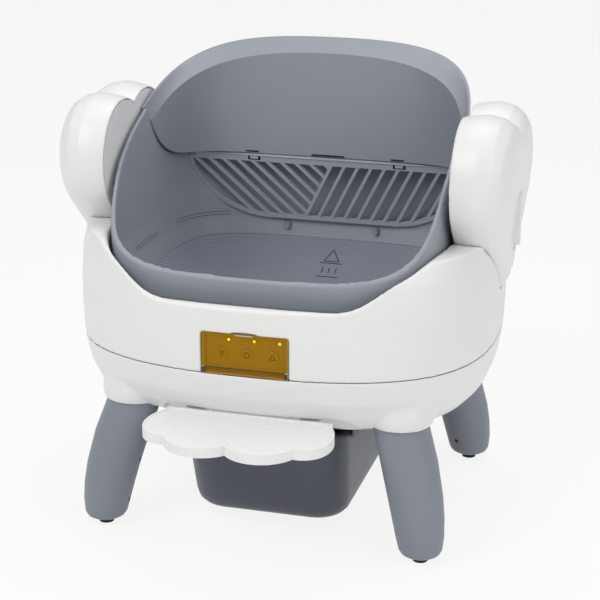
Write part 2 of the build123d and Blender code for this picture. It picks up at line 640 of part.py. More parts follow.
def make_control_panel():
    """Tray behind the front wall: face with button and lamp holes, flange, cheeks for the cover's hinge."""
    half = PANEL_HALF_WIDTH - SEAT_GAP
    bottom = PANEL_BOTTOM_Z + SEAT_GAP
    top = PANEL_TOP_Z - SEAT_GAP
    front = COVER_FRONT_Y + COVER_THICK + SEAT_GAP
    panel = round_top(box_between((-half, front, bottom), (half, PANEL_BACK_Y, top)))
    inner = half - PANEL_WALL
    inner_top = top - PANEL_WALL
    recess = box_between((-inner, front - 1, CHEEK_TOP_Z), (inner, PANEL_FACE_Y, inner_top))
    rear = box_between((-inner, PANEL_FACE_Y + PANEL_WALL, bottom + PANEL_WALL), (inner, 0, inner_top))
    panel = panel - recess - rear
    flange_half = half + FLANGE_WIDTH
    flange_back = FLANGE_FRONT_Y + FLANGE_THICK
    high = (flange_half, flange_back, top + FLANGE_WIDTH)
    flange = box_between((-flange_half, FLANGE_FRONT_Y, bottom), high)
    window = box_between((-half, FLANGE_FRONT_Y - 1, bottom - 1), (half, 0, top))
    panel += flange - window
    trough = rod(-half - 1, COVER_HINGE_Y, COVER_HINGE_Z, COVER_BARREL_RADIUS + SLIDE_GAP, 2 * half + 2, "x")
    trough += box_between((-half - 1, front - 5, bottom), (half + 1, COVER_HINGE_Y, CHEEK_TOP_Z))
    panel -= trough & box_between((-half + CHEEK_WIDTH, -300, 0), (half - CHEEK_WIDTH, 0, 300))
    for side in (-1, 1):
        low_x = side * (half - CHEEK_WIDTH / 2) - CHEEK_WIDTH / 2
        panel += box_between((low_x, COVER_FRONT_Y, bottom), (low_x + CHEEK_WIDTH, front + 1, CHEEK_TOP_Z))
    panel -= rod(-half - 1, COVER_HINGE_Y, COVER_HINGE_Z, COVER_PIN_RADIUS + RUN_GAP, 2 * half + 2, "x")
    for x in BUTTON_CENTRES.values():
        panel -= rod(x, PANEL_FACE_Y - 1, BUTTON_Z, BUTTON_RADIUS + SEAT_GAP, PANEL_WALL + 2, "y")
    for x in lamp_places():
        panel -= rod(x, PANEL_FACE_Y - 1, LED_Z, LED_RADIUS + RUN_GAP, PANEL_WALL + 2, "y")
    return panel


def lamp_places():
    """X of the three indicator lamps, above and to the right of the buttons."""
    return [LED_X + step * BUTTON_PITCH for step in (-1, 0, 1)]


def make_panel_cover():
    """Clear flap over the panel, with a barrel and two short pins along its lower edge."""
    half = PANEL_HALF_WIDTH - SEAT_GAP
    inner = half - CHEEK_WIDTH - SEAT_GAP
    back = COVER_FRONT_Y + COVER_THICK
    top = PANEL_TOP_Z - SEAT_GAP
    cover = round_top(box_between((-half, COVER_FRONT_Y, CHEEK_TOP_Z + COVER_EDGE_GAP), (half, back, top)))
    cover += box_between((-inner, COVER_FRONT_Y, COVER_HINGE_Z), (inner, back, CHEEK_TOP_Z + 1))
    cover += rod(-inner, COVER_HINGE_Y, COVER_HINGE_Z, COVER_BARREL_RADIUS, 2 * inner, "x")
    reach = inner + COVER_PIN_LENGTH
    return cover + rod(-reach, COVER_HINGE_Y, COVER_HINGE_Z, COVER_PIN_RADIUS, 2 * reach, "x")


def make_button(x):
    """Round button with a flange that holds it behind the panel's face."""
    front = PANEL_FACE_Y - BUTTON_PROUD
    flange_y = PANEL_FACE_Y + PANEL_WALL + SEAT_GAP
    button = rod(x, front, BUTTON_Z, BUTTON_RADIUS, flange_y - front + BUTTON_FLANGE, "y")
    button += rod(x, flange_y, BUTTON_Z, BUTTON_RADIUS + 1, BUTTON_FLANGE, "y")
    edge = button.edges().sort_by(Axis.Y)[0]
    return chamfer(edge, BUTTON_EDGE)


def make_lamps():
    """Three short light guides in the panel's face, standing on the board."""
    return [rod(x, PANEL_FACE_Y, LED_Z, LED_RADIUS, BOARD_Y - PANEL_FACE_Y, "y") for x in lamp_places()]


def make_control_board():
    """Circuit board behind the buttons, with one switch body under each."""
    half = PANEL_HALF_WIDTH - SEAT_GAP - PANEL_WALL - SEAT_GAP
    bottom = PANEL_BOTTOM_Z + PANEL_WALL + 2 * SEAT_GAP
    top = PANEL_TOP_Z - PANEL_WALL - 2 * SEAT_GAP
    return box_between((-half, BOARD_Y, bottom), (half, BOARD_Y + BOARD_THICK, top))


# ---- Heart-shaped pods ----

def heart_face(x, scale, tilt=0.0):
    """Heart outline near x, leaning by the tilt: two round lobes, hollow lower sides and a rounded tip."""
    notch = LOBE_RISE + math.sqrt(LOBE_RADIUS ** 2 - LOBE_OFFSET ** 2)
    low = math.radians(LOBE_END_ANGLE)
    end = Vector(LOBE_OFFSET + LOBE_RADIUS * math.cos(low), LOBE_RISE - LOBE_RADIUS * math.sin(low))
    end_pull = end + Vector(-math.sin(low), -math.cos(low)) * LOBE_PULL
    tip_z = -POD_TIP_DROP + POD_TIP_ROUND
    tip = Vector(POD_TIP_ROUND * TIP_NORMAL[0], tip_z + POD_TIP_ROUND * TIP_NORMAL[1])
    tip_pull = tip + Vector(-TIP_NORMAL[1], TIP_NORMAL[0]) * TIP_PULL
    top = Vector(LOBE_OFFSET, LOBE_RISE + LOBE_RADIUS)

    def place(point, side):
        rise = scale * point.Y
        return (x + tilt * rise, POD_CENTRE_Y + scale * side * point.X, POD_CENTRE_Z + rise)

    edges = []
    for side in (1, -1):
        edges.append(ThreePointArc(place(Vector(0, notch), side), place(top, side), place(end, side)))
        edges.append(Bezier(place(end, side), place(end_pull, side), place(tip_pull, side), place(tip, side)))
    edges.append(ThreePointArc(place(tip, 1), place(Vector(0, -POD_TIP_DROP), 1), place(tip, -1)))
    return Face(Wire(edges))


def heart_scale(grow):
    """Change of scale that moves the heart's outline out by about grow."""
    return grow / (LOBE_OFFSET + LOBE_RADIUS)


def pod_form(grow=0.0):
    """Right-hand pod: hearts that swell from the plate and close in to a domed face."""
    depth = POD_REACH + grow - POD_PLATE_X
    size = heart_scale(grow)
    faces = [heart_face(POD_PLATE_X + s * depth, scale + size, s * POD_TILT) for s, scale in POD_SHAPE]
    return loft(faces, ruled=True)


def heart_prism(x_from, x_to, grow=0.0):
    """Straight heart with the size of the pod's open side."""
    face = heart_face(x_from, POD_SHAPE[0][1] + heart_scale(grow))
    return extrude(face, x_to - x_from, dir=(1, 0, 0))


def make_ear_cover():
    """Right-hand pod cover: domed heart shell with a round recess for the knob."""
    inner = pod_form(-POD_WALL) + heart_prism(POD_PLATE_X - 1, POD_PLATE_X + 0.5, -POD_WALL)
    cup = rod(RECESS_FLOOR_X - POD_WALL, AXIS_Y, AXIS_Z, RECESS_RADIUS + POD_WALL, 40, "x")
    cover = pod_form() - (inner - cup)
    cover -= rod(RECESS_FLOOR_X, AXIS_Y, AXIS_Z, RECESS_RADIUS, 40, "x")
    cover -= rod(RECESS_FLOOR_X - 10, AXIS_Y, AXIS_Z, KNOB_STEM_RADIUS + RUN_GAP, 20, "x")
    return cover


def make_side_knob():
    """Right-hand locking knob: disc with a finger bar in the pod's recess, stem through its floor."""
    seat = RECESS_FLOOR_X + SEAT_GAP
    knob = rod(seat, AXIS_Y, AXIS_Z, KNOB_RADIUS, KNOB_DISC_THICK, "x")
    bar_x = seat + KNOB_DISC_THICK
    bar = SlotOverall(2 * KNOB_RADIUS - 6, KNOB_FIN_WIDTH)
    bar_face = Pos(bar_x - 1, AXIS_Y, AXIS_Z) * (Plane.YZ * (Rot(0, 0, 90) * bar))
    knob += extrude(bar_face, KNOB_FIN_TOP_X - bar_x + 1, dir=(1, 0, 0))
    return knob + rod(seat - KNOB_STEM_LENGTH, AXIS_Y, AXIS_Z, KNOB_STEM_RADIUS, KNOB_STEM_LENGTH, "x")


def make_ear_plate(posts):
    """Right-hand flat inner plate of a pod with the bearing's hole, and the motor's posts where asked."""
    plate = heart_prism(POD_PLATE_X, POD_PLATE_X + POD_PLATE_THICK, -POD_WALL - SEAT_GAP)
    plate -= rod(POD_PLATE_X - 1, AXIS_Y, AXIS_Z, BUSH_RADIUS + RUN_GAP, POD_PLATE_THICK + 2, "x")
    if posts:
        for side in (-1, 1):
            y, z = post_place(side)
            plate += rod(POD_PLATE_X + 1, y, z, POST_RADIUS, BRACKET_X - POD_PLATE_X - 1, "x")
    return plate


def make_bearing_bush():
    """Right-hand flanged bush in the plate, in which the drum's trunnion turns."""
    bush = rod(POD_PLATE_X, AXIS_Y, AXIS_Z, BUSH_RADIUS, BUSH_LENGTH, "x")
    flange_x = POD_PLATE_X + POD_PLATE_THICK
    bush += rod(flange_x, AXIS_Y, AXIS_Z, BUSH_RADIUS + BUSH_FLANGE, BUSH_FLANGE_THICK, "x")
    return bush - rod(POD_PLATE_X - 1, AXIS_Y, AXIS_Z, TRUNNION_RADIUS + RUN_GAP, BUSH_LENGTH + 2, "x")


# ---- Drive in the right-hand pod ----

def gear(teeth, bore, turn):
    """Involute spur gear about X with its tooth gaps thinned for backlash, and a bore."""
    pitch = GEAR_MODULE * teeth / 2
    pressure = math.radians(PRESSURE_ANGLE)
    base = pitch * math.cos(pressure)
    tip = pitch + GEAR_MODULE
    root = pitch - 1.25 * GEAR_MODULE
    half_tooth = math.pi / (2 * teeth) - GEAR_BACKLASH / (2 * pitch)

    def half_angle(radius):
        """Half of the tooth's angle at a radius."""
        roll = math.acos(min(1, base / radius))
        return half_tooth + (math.tan(pressure) - pressure) - (math.tan(roll) - roll)

    start = max(root, base)
    radii = [start, (start + tip) / 2, tip]
    points = []
    for tooth in range(teeth):
        centre = math.radians(turn) + 2 * math.pi * tooth / teeth
        flank = [(root, half_angle(start))] if start > root else []
        flank += [(radius, half_angle(radius)) for radius in radii]
        for radius, angle in flank:
            points.append((radius * math.cos(centre - angle), radius * math.sin(centre - angle)))
        for radius, angle in reversed(flank):
            points.append((radius * math.cos(centre + angle), radius * math.sin(centre + angle)))
    blank = make_face(Polyline(points, close=True)) - Circle(bore)
    return extrude(Plane.YZ * blank, GEAR_WIDTH, dir=(1, 0, 0))


def make_drum_gear():
    """Large gear on the right-hand trunnion."""
    return Pos(GEAR_X, AXIS_Y, AXIS_Z) * gear(DRUM_GEAR_TEETH, TRUNNION_RADIUS + RUN_GAP, 90)


def make_pinion():
    """Small gear on the motor's shaft, over the large one, with a gap facing its tooth."""
    half_pitch = 180 / PINION_TEETH
    return Pos(GEAR_X, AXIS_Y, PINION_Z) * gear(PINION_TEETH, PINION_SHAFT_RADIUS, 90 + half_pitch)


def make_motor_shaft_pinion():
    """Pinion with its shaft, which runs into the motor."""
    shaft_x = GEAR_X - 1
    return make_pinion() + rod(shaft_x, AXIS_Y, PINION_Z, PINION_SHAFT_RADIUS, BRACKET_X + 8 - shaft_x, "x")


def post_place(side):
    """Y and Z of one of the two posts that carry the motor's bracket."""
    return AXIS_Y + side * POST_OFFSET, PINION_Z + POST_RISE


def make_motor_bracket():
    """Flat bracket on the posts, with the motor's shaft hole."""
    low = (BRACKET_X, AXIS_Y - BRACKET_HALF_WIDTH, PINION_Z - MOTOR_RADIUS)
    high = (BRACKET_X + BRACKET_THICK, AXIS_Y + BRACKET_HALF_WIDTH, PINION_Z + MOTOR_RADIUS + 3)
    bracket = box_between(low, high)
    bracket = fillet(bracket.edges().filter_by(Axis.X), 4)
    shaft_hole = PINION_SHAFT_RADIUS + SLIDE_GAP
    return bracket - rod(BRACKET_X - 1, AXIS_Y, PINION_Z, shaft_hole, BRACKET_THICK + 2, "x")


def make_drive_motor():
    """Round gear motor on the bracket, with a shaft hole and a rear boss."""
    start = BRACKET_X + BRACKET_THICK
    motor = rod(start, AXIS_Y, PINION_Z, MOTOR_RADIUS, MOTOR_LENGTH, "x")
    motor += rod(start + MOTOR_LENGTH - 1, AXIS_Y, PINION_Z, MOTOR_RADIUS / 2, 3, "x")
    return motor - rod(start - 1, AXIS_Y, PINION_Z, PINION_SHAFT_RADIUS + RUN_GAP, 10, "x")


# ---- Drum ----

def drum_sections():
    """Plan sections of the drum: dished floor, sloping ledge, upright walls, rounder rear towards the top."""
    square = (0.93, 0.93)
    corner = (SIEVE_CORNER_PULL, SIEVE_CORNER_PULL)
    w, f, r = DRUM_HALF_WIDTH, DRUM_FRONT, DRUM_REAR
    floor = [
        (0, 124.5, 113, 115), (3.5, 96, 91, 91), (9, 69.5, 69, 69), (17, 48, 50, 50), (26, 32.5, 35, 35),
        (37, 20, 22.5, 22), (49, 10.5, 13, 12), (69, 3.5, 5, 4),
    ]
    sections = []
    for rise, side, front, rear in floor:
        sections.append((DRUM_BOTTOM_Z + rise, w - side, f - front, r - rear, square, square))
    front = f + 3
    sections += [
        (LIP_Z, w, f, r, square, square),
        (SIEVE_TOP_Z, w, front, r, square, corner),
        (SEAM_RIM_Z, w, front, r - REAR_TAPER / 2, square, (0.85, 0.80)),
        (HOOD_TOP_Z + 4, w, front, r - REAR_TAPER, square, HOOD_PULL),
    ]
    return sections


def drum_form(grow=0.0, lift=0.0):
    """The drum's outer form, or a smaller one inside it that is lifted off its floor."""
    return Pos(0, 0, lift) * plan_loft(drum_sections(), grow)


def seam_curve(drop=0.0):
    """Side view of everything above the seam between the bin and the hood."""
    start = (SEAM_RIM_Y, SEAM_RIM_Z - drop)
    level = HOOD_LOWER_Z - drop
    end = (SEAM_LEVEL_Y, level)
    far_y = DRUM_REAR + 60
    far_z = HOOD_TOP_Z + 60
    return [
        Line((SEAM_RIM_Y, far_z), start),
        Bezier(start, (SEAM_RIM_Y + 18, SEAM_RIM_Z - 44 - drop), (SEAM_LEVEL_Y - 50, level), end),
        Line(end, (far_y, level)),
        Line((far_y, level), (far_y, far_z)),
        Line((far_y, far_z), (SEAM_RIM_Y, far_z)),
    ]


def rim_profile():
    """Side view of everything above the bin's rim: a low lip, a steep rise, then the hood's slope."""
    slope = math.tan(math.radians(OUTLINE_TILT))
    far = DRUM_REAR + 60
    top = HOOD_TOP_Z + 80
    start = (-DRUM_FRONT - 20, LIP_Z - 14)
    corner = (SEAM_RIM_Y, SEAM_RIM_Z)
    lip = Spline([start, (-DRUM_FRONT, LIP_Z)] + RIM_POINTS + [corner])
    tuck = (SEAM_RIM_Y, SEAM_RIM_Z - HOOD_LAP)
    end = (far, SEAM_RIM_Z - HOOD_LAP + (far - SEAM_RIM_Y) * slope)
    return [
        lip,
        Line(corner, tuck),
        Line(tuck, end),
        Line(end, (far, top)),
        Line((far, top), (start[0], top)),
        Line((start[0], top), start),
    ]


def sieve_hinge():
    """Y and Z of the sieve's hinge, in the middle of its rail."""
    lean = sieve_lean()
    along = SIEVE_RAIL / 2
    y = SIEVE_TOP_Y + along * math.sin(lean) + SIEVE_THICK / 2 * math.cos(lean)
    z = SIEVE_TOP_Z - along * math.cos(lean) + SIEVE_THICK / 2 * math.sin(lean)
    return y, z


def sieve_lean():
    """Angle between the closed sieve and the vertical."""
    return math.atan2(SIEVE_FOOT_Y - SIEVE_TOP_Y, SIEVE_TOP_Z - SIEVE_FOOT_Z)


def make_drum_bin():
    """Tub of the drum with its high rear wall, a rebate for the hood and bosses for the sieve's pins."""
    far = DRUM_HALF_WIDTH + 60
    bin_form = drum_form() - drum_form(-DRUM_WALL, DRUM_FLOOR)
    above_seam = side_prism(seam_curve(SEAT_GAP), -far, far)
    bin_form -= drum_form(-CHAMBER_WALL) & above_seam
    bin_form -= hood_form(HOOD_WALL + SEAT_GAP) & above_seam
    bin_form -= side_prism(rim_profile(), -far, far)
    y, z = sieve_hinge()
    inner_x = SIEVE_HALF_WIDTH + SEAT_GAP
    boss = rod(inner_x, y, z, PIVOT_BOSS_RADIUS, 20, "x")
    hole = rod(inner_x - 1, y, z, SIEVE_PIN_RADIUS + RUN_GAP, SIEVE_PIN_LENGTH + 1, "x")
    for piece in both_sides(boss & drum_form(-1)):
        bin_form += piece
    for piece in both_sides(hole):
        bin_form -= piece
    return bin_form


def make_litter_liner():
    """Thin mat that lines the drum's dished floor."""
    far = DRUM_HALF_WIDTH + 60
    outer = drum_form(-DRUM_WALL - SEAT_GAP, DRUM_FLOOR + SEAT_GAP)
    inner = drum_form(-DRUM_WALL - SEAT_GAP - LINER_THICK, DRUM_FLOOR + SEAT_GAP + LINER_THICK)
    return (outer - inner) & box_between((-far, -far, 0), (far, far, LINER_EDGE_Z))


def hood_form(grow):
    """Front face of the hood, or its back when grown: an upright bowl and a flared brim above a crease."""
    crease = math.tan(math.radians(CREASE_TILT))
    outline = math.tan(math.radians(OUTLINE_TILT))
    wing = DRUM_HALF_WIDTH - DRUM_WALL + grow
    brim = DRUM_HALF_WIDTH - DRUM_WALL + BRIM_FLARE + grow
    front = 100.0
    square = (0.93, 0.93)
    corner = (SIEVE_CORNER_PULL, SIEVE_CORNER_PULL)
    sections = [
        (HOOD_FOOT_Z, wing, front, SIEVE_TOP_Y - 2 + grow, square, corner, crease),
        (CREASE_Z, wing, front, CREASE_Y + grow, square, CREASE_PULL, crease),
        (HOOD_TOP_Z, brim, front, HOOD_TOP_Y - HOOD_WALL + grow, square, HOOD_PULL, outline),
    ]
    return loft([plan_face(*section) for section in sections], ruled=True)


def make_hood():
    """Deflector behind the user's seat in the drum: thin wall that overlaps the bin's rear edge."""
    far = DRUM_HALF_WIDTH + 60
    return (hood_form(HOOD_WALL) - hood_form(0)) & side_prism(seam_curve(), -far, far)


def make_bump_stops():
    """Two round tapered stops on the drum's rear wall, behind the sieve's foot."""
    inside = drum_form(-DRUM_WALL - RUN_GAP, DRUM_FLOOR)
    stud = Pos(0, BUMP_Y, BUMP_Z) * Rot(90, 0, 0) * Cone(BUMP_RADIUS, BUMP_RADIUS / 2, BUMP_LENGTH)
    return [Pos(side * BUMP_X, 0, 0) * stud & inside for side in (-1, 1)]


def make_trunnion():
    """Right-hand trunnion: flange on the drum's side and a shaft into the pod."""
    flange = rod(DRUM_HALF_WIDTH - 2, AXIS_Y, AXIS_Z, TRUNNION_FLANGE_RADIUS, TRUNNION_FLANGE_THICK + 2, "x")
    flange -= drum_form(RUN_GAP)
    shaft_x = DRUM_HALF_WIDTH + 1
    return flange + rod(shaft_x, AXIS_Y, AXIS_Z, TRUNNION_RADIUS, TRUNNION_END_X - shaft_x, "x")


# ---- Sieve ----

def sieve_face(inset=0.0, top=0.0):
    """The sieve's outline in its own plane, drawn in by an inset: x across, y up from its top edge."""
    w = SIEVE_HALF_WIDTH - inset
    foot = inset - math.hypot(SIEVE_FOOT_Y - SIEVE_TOP_Y, SIEVE_TOP_Z - SIEVE_FOOT_Z)
    bend = -SIEVE_RAIL - SIEVE_SHOULDER
    flat = SIEVE_FLAT_HALF
    right = [
        Line((0, -top), (w, -top)),
        Line((w, -top), (w, bend)),
        Bezier((w, bend), (w, foot * 0.58), (w - SIEVE_CORNER_REACH, foot), (flat, foot)),
        Line((flat, foot), (0, foot)),
    ]
    return make_face(right + [mirror(edge, about=Plane.YZ) for edge in right])


def bar_row(direction, pitch, count, first):
    """Row of long straight bars: direction in degrees, first point, pitch at right angles."""
    bars = []
    normal = math.radians(direction + 90)
    for index in range(count):
        x = first[0] + index * pitch * math.cos(normal)
        y = first[1] + index * pitch * math.sin(normal)
        bars.append(Pos(x, y) * Rot(0, 0, direction) * Rectangle(BAR_REACH, SIEVE_BAR))
    return bars


def sieve_gaps():
    """The openings between the slanted bars, as faces in the sieve's plane."""
    window = sieve_face(SIEVE_FRAME, SIEVE_RAIL)
    at_divider = Pos(*DIVIDER_POINT) * Rot(0, 0, RIGHT_BAR_ANGLE)
    divider = at_divider * Rectangle(BAR_REACH, SIEVE_BAR)
    left_side = at_divider * Pos(0, BAR_REACH / 2) * Rectangle(BAR_REACH, BAR_REACH)
    left = (window & left_side) - divider
    for bar in bar_row(-LEFT_BAR_ANGLE, LEFT_BAR_PITCH, LEFT_BARS, LEFT_BAR_START):
        left -= bar
    right = (window - left_side) - divider
    for bar in bar_row(RIGHT_BAR_ANGLE, -RIGHT_BAR_PITCH, RIGHT_BARS, RIGHT_BAR_START):
        right -= bar
    return [gap for gap in left.faces() + right.faces() if gap.area > SMALLEST_GAP]


def make_sieve_grille():
    """Hanging sieve: rail, frame, two fields of slanted bars that meet at a sloping bar, and two pins."""
    plate = extrude(sieve_face(), SIEVE_THICK)
    for gap in sieve_gaps():
        plate -= extrude(Pos(0, 0, -1) * gap, SIEVE_THICK + 2, dir=(0, 0, 1))
    lean = sieve_lean()
    behind = (SIEVE_THICK * math.cos(lean), SIEVE_THICK * math.sin(lean))
    plane = Plane(
        origin=(0, SIEVE_TOP_Y + behind[0], SIEVE_TOP_Z + behind[1]),
        x_dir=(1, 0, 0),
        z_dir=(0, -math.cos(lean), -math.sin(lean)),
    )
    y, z = sieve_hinge()
    inside = SIEVE_HALF_WIDTH - SIEVE_SHOULDER
    pin = rod(inside, y, z, SIEVE_PIN_RADIUS, SIEVE_SHOULDER + SIEVE_PIN_LENGTH - 1, "x")
    sieve = (plane * plate) & drum_form(-DRUM_WALL - SLIDE_GAP, DRUM_FLOOR)
    return sieve + pin + mirror(pin, about=Plane.YZ)


# ---- Assembly ----

def build_nodes():
    """Every node's shape, or list of shapes, by name."""
    nodes = {
        "lower_shell": make_lower_shell(),
        "upper_shell": make_upper_shell(),
        "foot_pads": make_foot_pads(),
        "leg_screws": make_leg_screws(),
        "power_inlet": make_power_inlet(),
        "drawer_rail_left": make_drawer_rail(-1),
        "drawer_rail_right": make_drawer_rail(1),
        "waste_drawer": make_waste_drawer(),
        "step_tray": make_step_tray(),
        "control_panel": make_control_panel(),
        "control_board": make_control_board(),
        "panel_cover": make_panel_cover(),
        "indicator_lenses": make_lamps(),
        "drum_bin": make_drum_bin(),
        "hood": make_hood(),
        "litter_liner": make_litter_liner(),
        "bump_stops": make_bump_stops(),
        "sieve_grille": make_sieve_grille(),
        "drum_gear": make_drum_gear(),
        "pinion": make_motor_shaft_pinion(),
        "motor_bracket": make_motor_bracket(),
        "drive_motor": make_drive_motor(),
        "ear_plate_right": make_ear_plate(True),
        "ear_plate_left": mirror(make_ear_plate(False), about=Plane.YZ),
    }
    for place, signs in CORNERS.items():
        nodes["leg_" + place] = make_leg(*signs)
    for name, x in BUTTON_CENTRES.items():
        nodes[name] = make_button(x)
    pairs = {
        "ear_cover": make_ear_cover, "side_knob": make_side_knob,
        "bearing_bush": make_bearing_bush, "trunnion": make_trunnion,
    }
    for name, maker in pairs.items():
        nodes[name + "_right"], nodes[name + "_left"] = both_sides(maker())
    return nodes


def as_shape(shape, shift):
    """One shape for a node, moved along Y, also where it is a group of separate solids."""
    solids = []
    for item in shape if isinstance(shape, list) else [shape]:
        solids += [Pos(0, shift, 0) * solid for solid in item.solids()]
    return solids[0] if len(solids) == 1 else Compound(solids)


def write_parts():
    """Centre the model over the origin and write one file for each node."""
    nodes = build_nodes()
    boxes = [as_shape(shape, 0).bounding_box() for shape in nodes.values()]
    shift = -(min(box.min.Y for box in boxes) + max(box.max.Y for box in boxes)) / 2
    print("moved along Y by", round(shift, 3))
    os.makedirs("parts", exist_ok=True)
    for name, shape in nodes.items():
        export_step(as_shape(shape, shift), "parts/" + name + ".step")


write_parts()
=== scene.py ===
import json
import math

import bmesh
import bpy
from mathutils import Matrix, Vector
from mathutils.bvhtree import BVHTree


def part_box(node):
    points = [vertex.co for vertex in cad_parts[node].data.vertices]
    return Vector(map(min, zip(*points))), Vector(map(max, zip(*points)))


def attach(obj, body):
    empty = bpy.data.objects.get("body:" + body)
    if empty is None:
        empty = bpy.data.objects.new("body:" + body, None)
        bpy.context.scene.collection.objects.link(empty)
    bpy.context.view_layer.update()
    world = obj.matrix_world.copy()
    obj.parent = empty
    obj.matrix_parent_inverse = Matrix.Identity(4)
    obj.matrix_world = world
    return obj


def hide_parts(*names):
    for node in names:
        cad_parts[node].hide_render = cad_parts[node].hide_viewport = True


# Open-top self-cleaning litter box: satin white body and pods, cool grey drum and hood, slate
# legs and drawer. The CAD solids stay as they are, or a smoother skin of the same shape stands
# for them. Metres, +X right, -Y front, +Z up.

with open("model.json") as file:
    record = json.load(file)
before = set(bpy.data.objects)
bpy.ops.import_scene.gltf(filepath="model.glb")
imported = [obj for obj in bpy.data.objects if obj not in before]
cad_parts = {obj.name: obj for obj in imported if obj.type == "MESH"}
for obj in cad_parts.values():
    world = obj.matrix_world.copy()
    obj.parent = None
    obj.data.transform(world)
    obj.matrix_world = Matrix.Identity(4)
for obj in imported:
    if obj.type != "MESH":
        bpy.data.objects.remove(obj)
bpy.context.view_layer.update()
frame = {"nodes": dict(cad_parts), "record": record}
MM = 0.001

# ---- Places that the looks share ----
SEAM_Z = 231 * MM                       # parting line between the two body shells
DRUM_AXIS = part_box("drum_gear")         # the big gear turns about the drum's axis
AXIS_Y = (DRUM_AXIS[0].y + DRUM_AXIS[1].y) / 2
FIT_SHIFT = AXIS_Y - 5 * MM             # from the middle of the feet to the model's origin
LEG_NODES = ["leg_front_left", "leg_front_right", "leg_rear_left", "leg_rear_right"]
SMOOTH_ANGLE = math.radians(34)


def hex_colour(code):
    """Linear RGBA of an sRGB hex code such as 8a8f96."""
    values = [int(code[i:i + 2], 16) / 255 for i in (0, 2, 4)]
    return [v / 12.92 if v <= 0.04045 else ((v + 0.055) / 1.055) ** 2.4 for v in values] + [1.0]


# ---- Materials ----

def add_node(tree, kind, settings=None, **links):
    """Adds a node, sets its properties and inputs, and links the inputs that are given a socket."""
    node = tree.nodes.new(kind)
    for name, value in (settings or {}).items():
        setattr(node, name, value)
    for name, value in links.items():
        key = int(name[1:]) if name[0] == "_" and name[1:].isdigit() else name.replace("_", " ")
        if isinstance(value, bpy.types.NodeSocket):
            tree.links.new(value, node.inputs[key])
        else:
            node.inputs[key].default_value = value
    return node


def new_material(name, roughness, **sockets):
    """Material with one Principled shader; returns it with its tree, shader and object coordinates."""
    material = bpy.data.materials.new(name)
    material.use_nodes = True
    tree = material.node_tree
    shader = tree.nodes["Principled BSDF"]
    shader.inputs["Roughness"].default_value = roughness
    for key, value in sockets.items():
        shader.inputs[key.replace("_", " ")].default_value = value
    place = add_node(tree, "ShaderNodeTexCoord").outputs["Object"]
    return material, tree, shader, place


def mottle(tree, place, colour, other, size_mm):
    """Colour that drifts between two near shades over patches of about size_mm."""
    patches = add_node(tree, "ShaderNodeTexNoise", Vector=place, Scale=1 / (size_mm * MM), Detail=3.0)
    blend = add_node(tree, "ShaderNodeMix", {"data_type": "RGBA"}, _0=patches.outputs["Fac"])
    blend.inputs[6].default_value = hex_colour(colour)
    blend.inputs[7].default_value = hex_colour(other)
    return blend.outputs[2]


def moulded_grain(tree, place, grain_mm, depth_mm, normal=None):
    """Bump of a spark-eroded mould: fine noise whose grains are grain_mm wide."""
    grain = add_node(tree, "ShaderNodeTexNoise", Vector=place, Scale=1 / (grain_mm * MM), Detail=2.0)
    links = {"Height": grain.outputs["Fac"], "Distance": depth_mm * MM, "Strength": 0.35}
    if normal is not None:
        links["Normal"] = normal
    return add_node(tree, "ShaderNodeBump", **links).outputs["Normal"]


def uneven_gloss(tree, place, low, high, size_mm):
    """Roughness between two values, in soft patches as handling and moulding leave them."""
    patches = add_node(tree, "ShaderNodeTexNoise", Vector=place, Scale=1 / (size_mm * MM), Detail=2.0)
    spread = add_node(tree, "ShaderNodeMapRange", Value=patches.outputs["Fac"])
    spread.inputs["To Min"].default_value = low
    spread.inputs["To Max"].default_value = high
    return spread.outputs["Result"]


def moulded_plastic(name, colour, other, roughness, grain_mm, depth_mm):
    """Injection-moulded thermoplastic: even colour, slight mottling, grain of its mould."""
    material, tree, shader, place = new_material(name, roughness, IOR=1.49)
    tree.links.new(mottle(tree, place, colour, other, 60), shader.inputs["Base Color"])
    gloss = uneven_gloss(tree, place, roughness - 0.05, roughness + 0.05, 25)
    tree.links.new(gloss, shader.inputs["Roughness"])
    tree.links.new(moulded_grain(tree, place, grain_mm, depth_mm), shader.inputs["Normal"])
    return material


def white_abs_with_parting_line():
    """Satin ABS of the body: nearly white, with the fine dark line where the two shells meet."""
    line_half = 0.55 * MM
    material, tree, shader, place = new_material("satin_white_abs", 0.36, IOR=1.53)
    height = add_node(tree, "ShaderNodeSeparateXYZ", Vector=place).outputs["Z"]
    off = add_node(tree, "ShaderNodeMath", {"operation": "SUBTRACT"}, _0=height, _1=SEAM_Z)
    away = add_node(tree, "ShaderNodeMath", {"operation": "ABSOLUTE"}, _0=off.outputs[0])
    on_line = add_node(tree, "ShaderNodeMath", {"operation": "LESS_THAN"}, _0=away.outputs[0], _1=line_half)
    blend = add_node(tree, "ShaderNodeMix", {"data_type": "RGBA"}, _0=on_line.outputs[0])
    tree.links.new(mottle(tree, place, "f1f1f0", "efefee", 90), blend.inputs[6])
    blend.inputs[7].default_value = hex_colour("8e9092")
    tree.links.new(blend.outputs[2], shader.inputs["Base Color"])
    tree.links.new(uneven_gloss(tree, place, 0.33, 0.40, 40), shader.inputs["Roughness"])
    tree.links.new(moulded_grain(tree, place, 1.6, 0.02), shader.inputs["Normal"])
    return material


